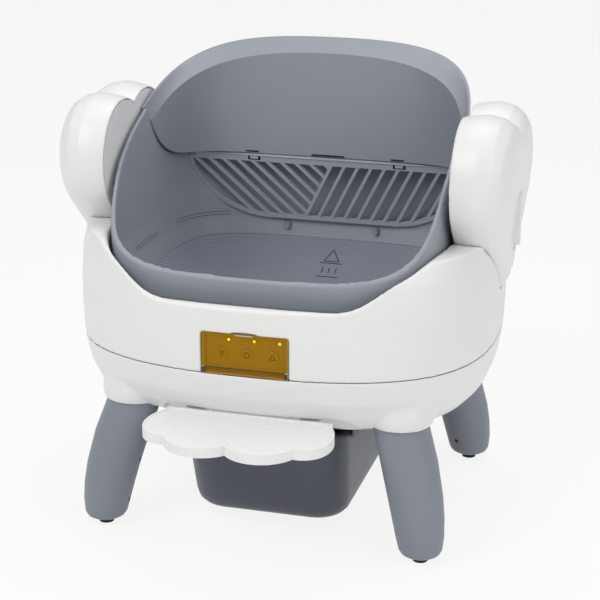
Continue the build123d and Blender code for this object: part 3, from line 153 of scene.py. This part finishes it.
def ridged_mat():
    """Moulded TPE mat: slate, with fine ridges that follow the floor's outline, and painted shade darkening
    their grooves.
    """
    # Rings 2.2 mm apart across and 1.9 mm front to back. The real ones are nearer 1.6 mm, by estimate.
    ring_scale = 156.25
    ring_squash = (0.92, 1.08, 0)
    material, tree, shader, place = new_material("ridged_slate_tpe", 0.62, IOR=1.48)
    centred = add_node(tree, "ShaderNodeMapping", Vector=place)
    centred.inputs["Location"].default_value = (0, -AXIS_Y, 0)
    centred.inputs["Scale"].default_value = ring_squash
    waves = add_node(
        tree, "ShaderNodeTexWave", {"wave_type": "RINGS", "rings_direction": "Z"},
        Vector=centred.outputs["Vector"], Scale=ring_scale,
    )
    # The grooves between the rings take the darker 808693: painted shade in the grooves.
    blend = add_node(tree, "ShaderNodeMix", {"data_type": "RGBA"}, _0=waves.outputs["Fac"])
    blend.inputs[6].default_value = hex_colour("808693")
    tree.links.new(mottle(tree, place, "9da3b0", "a5abb7", 45), blend.inputs[7])
    tree.links.new(blend.outputs[2], shader.inputs["Base Color"])
    links = {"Height": waves.outputs["Fac"], "Distance": 0.35 * MM, "Strength": 0.7}
    ridges = add_node(tree, "ShaderNodeBump", **links).outputs["Normal"]
    tree.links.new(moulded_grain(tree, place, 0.8, 0.05, ridges), shader.inputs["Normal"])
    return material


def speckled_top():
    """White ABS of the step, with the fine speckle of its anti-slip top."""
    material, tree, shader, place = new_material("speckled_white_abs", 0.5, IOR=1.53)
    dots = add_node(tree, "ShaderNodeTexNoise", Vector=place, Scale=1 / (1.8 * MM), Detail=4.0, Roughness=0.7)
    ramp = add_node(tree, "ShaderNodeMapRange", Value=dots.outputs["Fac"])
    ramp.inputs["From Min"].default_value = 0.52
    ramp.inputs["From Max"].default_value = 0.66
    blend = add_node(tree, "ShaderNodeMix", {"data_type": "RGBA"}, _0=ramp.outputs["Result"])
    blend.inputs[6].default_value = hex_colour("f6f6f5")
    blend.inputs[7].default_value = hex_colour("e6e6e5")
    tree.links.new(blend.outputs[2], shader.inputs["Base Color"])
    tree.links.new(moulded_grain(tree, place, 1.2, 0.12), shader.inputs["Normal"])
    return material


def tinted_polycarbonate():
    """Clear amber polycarbonate: pale in one pass, because light crosses its faces four times in and out."""
    material, tree, shader, place = new_material("amber_polycarbonate", 0.12, IOR=1.58)
    shader.inputs["Base Color"].default_value = hex_colour("a87f22")
    tree.links.new(uneven_gloss(tree, place, 0.08, 0.16, 15), shader.inputs["Roughness"])
    clear = add_node(tree, "ShaderNodeBsdfTransparent", Color=hex_colour("f0e09a"))
    both = add_node(tree, "ShaderNodeMixShader", _0=0.13, _1=clear.outputs[0], _2=shader.outputs[0])
    tree.links.new(both.outputs[0], tree.nodes["Material Output"].inputs["Surface"])
    return material


def lit_light_guide():
    """Clear acrylic light guide with the lamp behind it on."""
    material, tree, shader, place = new_material("lit_acrylic", 0.2, IOR=1.49)
    shader.inputs["Base Color"].default_value = hex_colour("fff0b8")
    shader.inputs["Emission Color"].default_value = hex_colour("ffe680")
    shader.inputs["Emission Strength"].default_value = 2.2
    tree.links.new(moulded_grain(tree, place, 0.6, 0.02), shader.inputs["Normal"])
    return material


def metal(name, colour, other, roughness, brushed_mm):
    """Plated or turned metal with the fine lines of its finishing."""
    material, tree, shader, place = new_material(name, roughness, Metallic=1.0)
    tree.links.new(mottle(tree, place, colour, other, 20), shader.inputs["Base Color"])
    gloss = uneven_gloss(tree, place, roughness - 0.08, roughness + 0.08, 4)
    tree.links.new(gloss, shader.inputs["Roughness"])
    tree.links.new(moulded_grain(tree, place, brushed_mm, 0.01), shader.inputs["Normal"])
    return material


def make_materials():
    """Every finish of the object, by the name that its nodes use."""
    return {
        "white": white_abs_with_parting_line(),
        "drum": moulded_plastic("textured_grey_pp", "9ea3ac", "999fa8", 0.46, 0.9, 0.05),
        "hood": moulded_plastic("satin_grey_pp", "979ba4", "9397a0", 0.42, 0.9, 0.04),
        "sieve": moulded_plastic("sieve_grey_pp", "bbc0c7", "b6bbc3", 0.44, 0.9, 0.04),
        "liner": ridged_mat(),
        "legs": moulded_plastic("textured_slate_pp", "8b909a", "868b95", 0.50, 0.8, 0.07),
        "drawer": moulded_plastic("satin_slate_pp", "4b505b", "474c57", 0.40, 1.0, 0.04),
        "step": speckled_top(),
        "cover": tinted_polycarbonate(),
        "panel": moulded_plastic("satin_white_abs_panel", "e6e2d8", "e2ded4", 0.40, 0.8, 0.03),
        "icons": moulded_plastic("printed_brown_ink", "4f3d20", "4a391d", 0.55, 0.6, 0.02),
        "lamps": lit_light_guide(),
        "board": moulded_plastic("solder_masked_board", "15532f", "124a2a", 0.45, 0.8, 0.02),
        "rubber": moulded_plastic("black_rubber", "1b1b1d", "202022", 0.75, 0.7, 0.06),
        "screws": metal("zinc_plated_steel", "b4b6ba", "aeb0b5", 0.38, 0.5),
        "motor": metal("plated_steel_can", "a5a8ac", "9fa2a7", 0.36, 0.5),
        "gears": moulded_plastic("natural_acetal", "e0ddd2", "dcd8cc", 0.34, 0.8, 0.02),
        "bushes": moulded_plastic("black_acetal", "26272a", "2a2b2e", 0.38, 0.8, 0.02),
        "inner": moulded_plastic("inner_grey_abs", "70757c", "6c7178", 0.48, 0.8, 0.04),
        "plate": moulded_plastic("satin_pale_grey_abs", "f0f0f0", "ececed", 0.42, 0.8, 0.03),
        # Dark brown painted shadow of the gap along the flap's hinge and at its ends.
        "hinge": moulded_plastic("painted_hinge_gap_shadow", "4a2e0c", "442a0b", 0.30, 0.8, 0.02),
        "sill": moulded_plastic("amber_polycarbonate_sill", "a67a22", "a0751f", 0.30, 0.8, 0.02),
        "ridge": moulded_plastic("frosted_polycarbonate", "c9bf94", "c5bb90", 0.35, 0.6, 0.02),
        # Near-black painted shade, for small blocks, lines and discs set where slots, recesses, holes and tab
        # edges lie in shade.
        "dark": moulded_plastic("painted_shade_near_black", "17191c", "1a1c20", 0.7, 0.8, 0.04),
        "mark": moulded_plastic("moulded_level_mark", "353a42", "393e46", 0.55, 0.8, 0.04),
        "groove": moulded_plastic("shaded_groove_pp", "5b616a", "575d66", 0.6, 0.8, 0.04),
    }


NODE_FINISH = {
    "lower_shell": "white", "upper_shell": "white", "ear_cover_left": "white", "ear_cover_right": "white",
    "side_knob_left": "white", "side_knob_right": "white", "foot_pads": "rubber", "leg_screws": "screws",
    "power_inlet": "bushes", "drawer_rail_left": "inner", "drawer_rail_right": "inner",
    "waste_drawer": "drawer", "step_tray": "step", "control_panel": "panel", "control_board": "board",
    "panel_cover": "cover", "indicator_lenses": "lamps", "connect_button": "panel",
    "clean_button": "panel", "level_button": "panel", "drum_bin": "drum", "hood": "hood",
    "litter_liner": "liner", "bump_stops": "drum", "sieve_grille": "sieve", "drum_gear": "gears",
    "pinion": "gears", "motor_bracket": "motor", "drive_motor": "motor", "ear_plate_left": "plate",
    "ear_plate_right": "plate", "bearing_bush_left": "bushes", "bearing_bush_right": "bushes",
    "trunnion_left": "inner", "trunnion_right": "inner",
}
NODE_FINISH.update({leg: "legs" for leg in LEG_NODES})


# ---- Skins that stand for CAD nodes ----

def merged_mesh(node):
    """Bmesh of a CAD node whose faces share their points again."""
    mesh = bmesh.new()
    mesh.from_mesh(frame["nodes"][node].data)
    bmesh.ops.remove_doubles(mesh, verts=mesh.verts, dist=0.004 * MM)
    bmesh.ops.dissolve_degenerate(mesh, dist=0.001 * MM, edges=mesh.edges)
    return mesh


def shade(mesh):
    """Smooth shading, with edges sharper than SMOOTH_ANGLE kept as edges."""
    for face in mesh.faces:
        face.smooth = True
    for edge in mesh.edges:
        edge.smooth = len(edge.link_faces) == 2 and edge.calc_face_angle(0) < SMOOTH_ANGLE
    return mesh


def as_object(name, mesh):
    """Object of a bmesh, in a clean mesh without the frame's stored normals."""
    points = [vertex.co.copy() for vertex in mesh.verts]
    mesh.verts.index_update()
    faces = [[vertex.index for vertex in face.verts] for face in mesh.faces]
    sharp = [[vertex.index for vertex in edge.verts] for edge in mesh.edges if not edge.smooth]
    data = bpy.data.meshes.new(name)
    data.from_pydata(points, [], faces)
    data.polygons.foreach_set("use_smooth", [True] * len(faces))
    keys = {frozenset(pair) for pair in sharp}
    marks = [frozenset(edge.vertices) in keys for edge in data.edges]
    data.attributes.new("sharp_edge", "BOOLEAN", "EDGE").data.foreach_set("value", marks)
    data.validate()
    mesh.free()
    piece = bpy.data.objects.new(name, data)
    bpy.context.scene.collection.objects.link(piece)
    return piece


def stand_for(node, piece, finish):
    """The piece replaces the node, on its body and in its finish."""
    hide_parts(node)
    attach(piece, body_names[node])
    piece.data.materials.clear()
    piece.data.materials.append(finish)


def smooth_skin(node):
    """Skin with the node's own shape, shaded smooth across its shallow creases."""
    piece = as_object(node + "_skin", shade(merged_mesh(node)))
    stand_for(node, piece, finishes[NODE_FINISH[node]])


def softened_skin(node, voxel_mm, rounds, keep):
    """Skin whose edges are rounded as moulded edges are: remeshed, smoothed, then thinned out."""
    piece = as_object(node + "_skin", merged_mesh(node))
    remesh = piece.modifiers.new("remesh", "REMESH")
    remesh.mode = "VOXEL"
    remesh.voxel_size = voxel_mm * MM
    smooth = piece.modifiers.new("smooth", "SMOOTH")
    smooth.factor = 0.5
    smooth.iterations = rounds
    thin = piece.modifiers.new("thin", "DECIMATE")
    thin.ratio = keep
    evaluated = piece.evaluated_get(bpy.context.evaluated_depsgraph_get())
    result = bpy.data.meshes.new_from_object(evaluated)
    piece.modifiers.clear()
    piece.data = result
    result.polygons.foreach_set("use_smooth", [True] * len(result.polygons))
    stand_for(node, piece, finishes[NODE_FINISH[node]])


body_names = {n: b for b, nodes in frame["record"]["behaviour"]["bodies"].items() for n in nodes}
finishes = make_materials()

# For each softened node: voxel in millimetres, rounds of smoothing, share of its faces kept.
SOFTENED = {
    "upper_shell": (2.2, 8, 0.22),
    "lower_shell": (2.2, 6, 0.22),
    "ear_cover_left": (2.0, 6, 0.30),
    "ear_cover_right": (2.0, 6, 0.30),
    "drum_bin": (1.5, 8, 0.42),
}
for node_name, node_object in frame["nodes"].items():
    if node_name in SOFTENED:
        softened_skin(node_name, *SOFTENED[node_name])
    elif NODE_FINISH[node_name] in ("white", "drum", "hood", "liner", "legs", "drawer", "step"):
        smooth_skin(node_name)
    else:
        node_object.data.materials.clear()
        node_object.data.materials.append(finishes[NODE_FINISH[node_name]])


# ---- Fine details, each on the body that carries it ----

def at(x, y, z):
    """Point given in the maker's millimetres, with y = 0 midway between the feet."""
    return Vector((x * MM, y * MM + FIT_SHIFT, z * MM))


def settle(piece, node, finish):
    """The piece moves with the node, and has the finish of the given name."""
    piece.data.materials.append(finishes[finish])
    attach(piece, body_names[node])


def rounded_block(name, node, finish, centre, size, turn=None, edge_mm=0.4):
    """Small moulded block with rounded edges; size in millimetres, turned about its centre."""
    mesh = bmesh.new()
    bmesh.ops.create_cube(mesh, size=1.0)
    bmesh.ops.scale(mesh, vec=Vector(size) * MM, verts=mesh.verts)
    bmesh.ops.bevel(mesh, geom=mesh.edges[:], offset=edge_mm * MM, segments=2, affect="EDGES", profile=0.5)
    place = Matrix.Translation(centre) @ (turn or Matrix.Identity(4))
    bmesh.ops.transform(mesh, matrix=place, verts=mesh.verts)
    settle(as_object(name, shade(mesh)), node, finish)


def surface_of(node):
    """Search tree of a CAD node's surface."""
    mesh = merged_mesh(node)
    tree = BVHTree.FromBMesh(mesh)
    mesh.free()
    return tree


def ribbon(name, node, finish, lines, width_mm, proud_mm=0.25):
    """Thin strips on a node's surface, one for each list of points, closed where it ends as it began."""
    sunk_mm = 0.3           # depth of a strip's lower corners under the surface
    top_share = 0.8         # width of a strip's top, as a share of its foot
    tree = surface_of(node)
    mesh = bmesh.new()
    for line in lines:
        closed = (line[0] - line[-1]).length < 0.01 * MM
        points = line[:-1] if closed else line
        rings = []
        for index, point in enumerate(points):
            before = points[index - 1] if closed or index else point
            after = points[(index + 1) % len(points)] if closed or index + 1 < len(points) else point
            spot, normal, _, _ = tree.find_nearest(point)
            side = normal.cross(after - before).normalized() * width_mm * MM / 2
            high, low = normal * proud_mm * MM, -normal * sunk_mm * MM
            corners = (side + low, side * top_share + high, -side * top_share + high, -side + low)
            rings.append([mesh.verts.new(spot + corner) for corner in corners])
        pairs = list(zip(rings, rings[1:])) + ([(rings[-1], rings[0])] if closed else [])
        for first, second in pairs:
            for k in range(4):
                mesh.faces.new((first[k], first[(k + 1) % 4], second[(k + 1) % 4], second[k]))
        if not closed:
            mesh.faces.new(rings[0])
            mesh.faces.new(reversed(rings[-1]))
    bmesh.ops.recalc_face_normals(mesh, faces=mesh.faces)
    settle(as_object(name, shade(mesh)), node, finish)


def along(*corners, step_mm=4.0):
    """Points along straight runs between corners."""
    points = []
    for first, second in zip(corners, corners[1:]):
        count = max(1, round((second - first).length / (step_mm * MM)))
        points += [first.lerp(second, k / count) for k in range(count)]
    return points + [corners[-1]]


def slot_outline(middle_line, height_mm):
    """Closed outline of a long slot round a line of points."""
    upper = [point + Vector((0, 0, height_mm / 2 * MM)) for point in middle_line]
    lower = [point - Vector((0, 0, height_mm / 2 * MM)) for point in reversed(middle_line)]
    return upper + lower + [upper[0]]


def curve_through(first, pull, last, count=14):
    """Points on a curve with one pull between its ends."""
    return [first.lerp(pull, k / count).lerp(pull.lerp(last, k / count), k / count) for k in range(count + 1)]


# The sieve hangs in a plane that leans back towards its foot. Millimetres, as at() takes them.
SIEVE_TOP_Y, SIEVE_TOP_Z = 143, 404     # top edge of its front face
SIEVE_RUN, SIEVE_DROP = 29, 93          # how far it leans back, over this height
LUG_X = 184
CLIP_X = 98
TAB_SHARE = 0.9                         # a foot tab is this share of its clip's way out
SIEVE_LEAN = math.atan2(SIEVE_RUN, SIEVE_DROP)
SIEVE_DOWN = Vector((0, math.sin(SIEVE_LEAN), -math.cos(SIEVE_LEAN)))
SIEVE_OUT = Vector((0, -math.cos(SIEVE_LEAN), -math.sin(SIEVE_LEAN)))
SIEVE_TURN = Matrix.Rotation(SIEVE_LEAN, 4, "X")


def on_sieve(x, down_mm, proud_mm):
    """Point in front of the sieve's face, measured down from its top edge."""
    return at(x, SIEVE_TOP_Y, SIEVE_TOP_Z) + SIEVE_DOWN * down_mm * MM + SIEVE_OUT * proud_mm * MM


def dress_sieve():
    """Bead and pivot lugs of the rail, two snap clips, each on a near-black block of painted shade where its
    recess lies, and two tabs at the foot.
    """
    def block(name, finish, centre, size, edge_mm):
        rounded_block(name, "sieve_grille", finish, centre, size, SIEVE_TURN, edge_mm)

    block("sieve_rail_bead", "sieve", on_sieve(0, 1.4, 0.1), (366, 2.2, 2.6), 0.9)
    for number, side in (("1", -1), ("2", 1)):
        clip_x = side * CLIP_X
        block("pivot_lug_" + number, "hood", on_sieve(side * LUG_X, 3.2, 1.0), (8.5, 4.0, 6.0), 1.0)
        # Near-black block behind each clip: painted shade of its recess.
        block("clip_recess_shade_" + number, "dark", on_sieve(clip_x, 5.6, 0.0), (17, 0.8, 6.0), 0.3)
        block("clip_" + number, "sieve", on_sieve(clip_x, 5.0, 0.8), (11, 1.6, 3.6), 0.5)
        block("foot_tab_" + number, "sieve", on_sieve(clip_x * TAB_SHARE, 96.2, -1.8), (8, 2.6, 5), 0.5)


# Slots of the drum's walls and of the hood's lower edge, where painted shade is laid. Millimetres, as at()
# takes them.
WALL_SLOT_HEIGHT = 4
WALL_SLOT = ((196.7, -36, 317), (196.8, 36, 317))                   # its two ends, on the right
REAR_SLOT = ((192, 99, 316), (186, 150, 314), (141, 169.5, 314))    # first end, pull, last end
HOOD_EDGE_Y, HOOD_EDGE_Z = 142.4, 408
HOOD_SLOTS = ((-100, 18), (3, 44), (96, 18))                        # middle and width of each


def dress_drum():
    """Slot outlines of the drum's walls in painted shade, near-black blocks of painted shade for the slots in
    the hood's lower edge, and the mat's retaining tabs with a painted shadow line beside each.
    """
    slot_shade_outlines = []
    for side in (-1, 1):
        wall = along(*[at(side * x, y, z) for x, y, z in WALL_SLOT])
        rear = curve_through(*[at(side * x, y, z) for x, y, z in REAR_SLOT])
        slot_shade_outlines += [slot_outline(line, WALL_SLOT_HEIGHT) for line in (wall, rear)]
    # The darker grey outlines are painted shade along the slots' edges.
    ribbon("wall_slot_shade_outlines", "drum_bin", "groove", slot_shade_outlines, 0.9, 0.15)
    # Near-black blocks on the hood's lower edge: painted shade standing for its slots.
    for number, (x, width) in enumerate(HOOD_SLOTS, 1):
        place = at(x, HOOD_EDGE_Y, HOOD_EDGE_Z)
        rounded_block("hood_slot_%d" % number, "hood", "dark", place, (width, 1.2, 2.0), None, 0.3)
    for side, word in ((-1, "left"), (1, "right")):
        tab = along(at(side * 187, -6, 287), at(side * 167, -24, 268), step_mm=3)
        ribbon("mat_tab_" + word, "litter_liner", "drum", [tab], 6.0, 0.9)
        # Near-black line beside each tab: painted shadow along the tab's edge.
        edge = [point + Vector((-side * 3.8 * MM, 3.4 * MM, 0)) for point in tab]
        ribbon("mat_tab_shadow_line_" + word, "litter_liner", "dark", [edge], 1.2, 0.3)


def dress_mat():
    """Moulded fill-level mark: a triangle over an upper and a lower line, with short ticks between."""
    above_mat = 340         # height, in millimetres, from which the lines are dropped on to the mat
    mat = surface_of("litter_liner")

    def on_mat(line):
        return [mat.ray_cast(point, Vector((0, 0, -1)))[0] for point in line]

    def flat(*corners):
        return along(*[at(x, y, above_mat) for x, y in corners], step_mm=2.0)

    triangle = flat((-2, 143), (8.5, 158), (19, 143), (-2, 143))
    lines = [triangle, flat((-6, 140), (24, 140)), flat((-6, 116), (24, 116))]
    lines += [flat((x, 133), (x, 123)) for x in (0, 9, 18)]
    ribbon("level_mark", "litter_liner", "mark", [on_mat(line) for line in lines], 1.5, 0.35)


# Buttons and flap of the control panel. Millimetres, as at() takes them.
BUTTON_FACE_Y, BUTTON_Z = -210.0, 255.8
CONNECT_X, CLEAN_X, LEVEL_X = -28.4, 2.0, 32.4
CLEAN_RING_RADIUS = 3.2
CLEAN_RING_STEP = 45                    # degrees between the strokes of the ring
FLAP_FACE_Y = -213.9
HINGE_LINE_Y, HINGE_LINE_Z = -214.0, 239.4
THUMB_RIDGE_Z = 280.2
HINGE_END_X, HINGE_END_Z = 49.6, 235.4
SILL_Y, SILL_Z = -213.3, 232.3


def dress_panel():
    """Marks on the three buttons, painted shadow along the flap's hinge line and at its hinge ends, and the
    flap's sill and thumb ridge.
    """
    def stroke(node, name, x, z, width, height, roll=0.0):
        turn = Matrix.Rotation(math.radians(roll), 4, "Y")
        rounded_block(name, node, "icons", at(x, BUTTON_FACE_Y, z), (width, 0.35, height), turn, 0.12)

    for index, width in enumerate((3.0, 5.6, 8.2)):
        rise = -2.4 + 2.4 * index
        stroke("connect_button", "connect_mark_%d" % index, CONNECT_X, BUTTON_Z + rise, width, 1.0)
    for index in range(360 // CLEAN_RING_STEP):
        roll = CLEAN_RING_STEP * index
        x = CLEAN_X + CLEAN_RING_RADIUS * math.sin(math.radians(roll))
        z = BUTTON_Z + CLEAN_RING_RADIUS * math.cos(math.radians(roll))
        stroke("clean_button", "clean_mark_%d" % index, x, z, 2.7, 0.9, roll)
    for index, (move_x, move_z, roll) in enumerate(((-1.9, 0.2, -60), (1.9, 0.2, 60), (0, -2.9, 0))):
        x, z = LEVEL_X + move_x, BUTTON_Z + move_z
        stroke("level_button", "level_mark_%d" % index, x, z, 7.0, 0.9, roll)

    # The hinge line and hinge ends are dark brown blocks of painted shadow.
    hinge_gap_shadow, ridge = at(0, HINGE_LINE_Y, HINGE_LINE_Z), at(0, FLAP_FACE_Y, THUMB_RIDGE_Z)
    rounded_block("hinge_gap_shadow", "panel_cover", "hinge", hinge_gap_shadow, (95.5, 0.7, 1.3), None, 0.25)
    rounded_block("thumb_ridge", "panel_cover", "ridge", ridge, (22, 0.9, 1.6), None, 0.35)
    for number, side in ((1, -1), (2, 1)):
        end = at(side * HINGE_END_X, FLAP_FACE_Y, HINGE_END_Z)
        rounded_block("hinge_end_%d" % number, "control_panel", "hinge", end, (3.4, 0.8, 7.6), None, 0.3)
    sill = at(0, SILL_Y, SILL_Z)
    rounded_block("flap_sill", "control_panel", "sill", sill, (96, 0.8, 2.2), None, 0.3)


def leg_hole_shade(name, node, direction, height_mm):
    """Small round near-black disc sunk in a leg's side, at a height, on the side that the direction points
    to: painted shade of a screw hole.
    """
    radius, depth, edge = 2.8 * MM, 1.4 * MM, 0.3 * MM
    sunk_mm = 0.45
    section_half = 14 * MM      # the leg's middle is that of its points this near to the height
    reach_mm = 90               # the search for the leg's side starts this far out
    leg = merged_mesh(node)
    tree = BVHTree.FromBMesh(leg)
    ring = [vertex.co for vertex in leg.verts if abs(vertex.co.z - height_mm * MM) < section_half]
    middle = sum(ring, Vector()) / len(ring)
    middle.z = height_mm * MM
    leg.free()
    outward = Vector((direction[0], direction[1], 0)).normalized()
    spot, normal, _, _ = tree.ray_cast(middle + outward * reach_mm * MM, -outward)
    mesh = bmesh.new()
    bmesh.ops.create_cone(mesh, cap_ends=True, segments=24, radius1=radius, radius2=radius, depth=depth)
    rim = [border for border in mesh.edges if border.calc_face_angle(0) > 1]
    bmesh.ops.bevel(mesh, geom=rim, offset=edge, segments=2, affect="EDGES", profile=0.5)
    turn = normal.to_track_quat("Z", "Y").to_matrix().to_4x4()
    place = Matrix.Translation(spot - normal * sunk_mm * MM) @ turn
    bmesh.ops.transform(mesh, matrix=place, verts=mesh.verts)
    settle(as_object(name, shade(mesh)), node, "dark")


HOLE_SHADE_LOW, HOLE_SHADE_HIGH = 31, 84            # heights of the screw holes' painted shade discs, in millimetres

dress_sieve()
dress_drum()
dress_mat()
dress_panel()
for height in (HOLE_SHADE_LOW, HOLE_SHADE_HIGH):
    leg_hole_shade("plug_front_left_%d" % height, "leg_front_left", (1.0, 0.0), height)
    leg_hole_shade("plug_front_right_%d" % height, "leg_front_right", (-1.0, 0.0), height)
leg_hole_shade("hole_shade_rear_left", "leg_rear_left", (0.36, -0.93), HOLE_SHADE_LOW)
leg_hole_shade("hole_shade_rear_right", "leg_rear_right", (-0.36, -0.93), HOLE_SHADE_LOW)


# ---- Camera, light and floor ----

def place_camera():
    """Camera at the photograph's viewing angle: to the right of the front, looking a little down."""
    azimuth = math.radians(15.789)
    elevation = math.radians(18.346)
    stand = at(550.2, -1925.5, 919.4)
    lens_mm, sensor_mm = 100.84, 36.0
    back = Vector((
        math.sin(azimuth) * math.cos(elevation),
        -math.cos(azimuth) * math.cos(elevation),
        math.sin(elevation),
    ))
    right = Vector((math.cos(azimuth), math.sin(azimuth), 0))
    up = back.cross(right)
    data = bpy.data.cameras.new("camera")
    data.sensor_width = sensor_mm
    data.lens = lens_mm
    camera = bpy.data.objects.new("camera", data)
    turn = Matrix((right, up, back)).transposed().to_4x4()
    camera.matrix_world = Matrix.Translation(stand) @ turn
    bpy.context.scene.collection.objects.link(camera)
    bpy.context.scene.camera = camera


def add_lamp(name, place, target, size, power):
    """Square soft box that points at the target."""
    data = bpy.data.lights.new(name, "AREA")
    data.size = size
    data.energy = power
    lamp = bpy.data.objects.new(name, data)
    aim = (Vector(target) - Vector(place)).to_track_quat("-Z", "Y")
    lamp.matrix_world = Matrix.Translation(place) @ aim.to_matrix().to_4x4()
    bpy.context.scene.collection.objects.link(lamp)


def pale_to_camera(tree, lit, strength):
    """Mixes a plain white glow into a shader, seen only by the camera and in reflections."""
    path = add_node(tree, "ShaderNodeLightPath")
    seen = add_node(
        tree, "ShaderNodeMath", {"operation": "MAXIMUM"},
        _0=path.outputs["Is Camera Ray"], _1=path.outputs["Is Glossy Ray"],
    )
    share = add_node(tree, "ShaderNodeMath", {"operation": "MULTIPLY"}, _0=seen.outputs[0], _1=strength)
    glow = add_node(tree, "ShaderNodeEmission", Strength=1.0)
    mixed = add_node(tree, "ShaderNodeMixShader", _0=share.outputs[0], _1=lit, _2=glow.outputs[0])
    return mixed.outputs[0]


def make_floor():
    """Plain pale floor that keeps the object's shadow."""
    half = 8.0
    data = bpy.data.meshes.new("floor")
    corners = [(-half, -half, 0), (half, -half, 0), (half, half, 0), (-half, half, 0)]
    data.from_pydata(corners, [], [(0, 1, 2, 3)])
    floor = bpy.data.objects.new("floor", data)
    bpy.context.scene.collection.objects.link(floor)
    material, tree, shader, _ = new_material("matt_white_sweep", 0.9)
    shader.inputs["Base Color"].default_value = hex_colour("fafafa")
    surface = pale_to_camera(tree, shader.outputs[0], 0.86)
    tree.links.new(surface, tree.nodes["Material Output"].inputs["Surface"])
    data.materials.append(material)


def make_world():
    """Even pale surroundings that light the object softly."""
    world = bpy.data.worlds.new("soft_room")
    bpy.context.scene.world = world
    world.use_nodes = True
    tree = world.node_tree
    background = tree.nodes["Background"]
    background.inputs["Color"].default_value = (1, 1, 1, 1)
    background.inputs["Strength"].default_value = 0.40
    white = add_node(tree, "ShaderNodeBackground", Strength=1.0)
    white.inputs["Color"].default_value = (1, 1, 1, 1)
    path = add_node(tree, "ShaderNodeLightPath")
    mixed = add_node(
        tree, "ShaderNodeMixShader",
        _0=path.outputs["Is Camera Ray"], _1=background.outputs[0], _2=white.outputs[0],
    )
    tree.links.new(mixed.outputs[0], tree.nodes["World Output"].inputs["Surface"])


bpy.context.scene.view_settings.view_transform = "Standard"
place_camera()
make_world()
make_floor()
# Lamps: place, target and size in metres, power in watts.
MIDDLE = (0, 0, 0.3)
add_lamp("key", (-1.1, -1.7, 2.1), MIDDLE, 1.4, 25)
add_lamp("fill", (1.9, -1.1, 1.3), MIDDLE, 1.6, 13)
add_lamp("top", (0.1, 0.5, 2.3), MIDDLE, 1.5, 14)
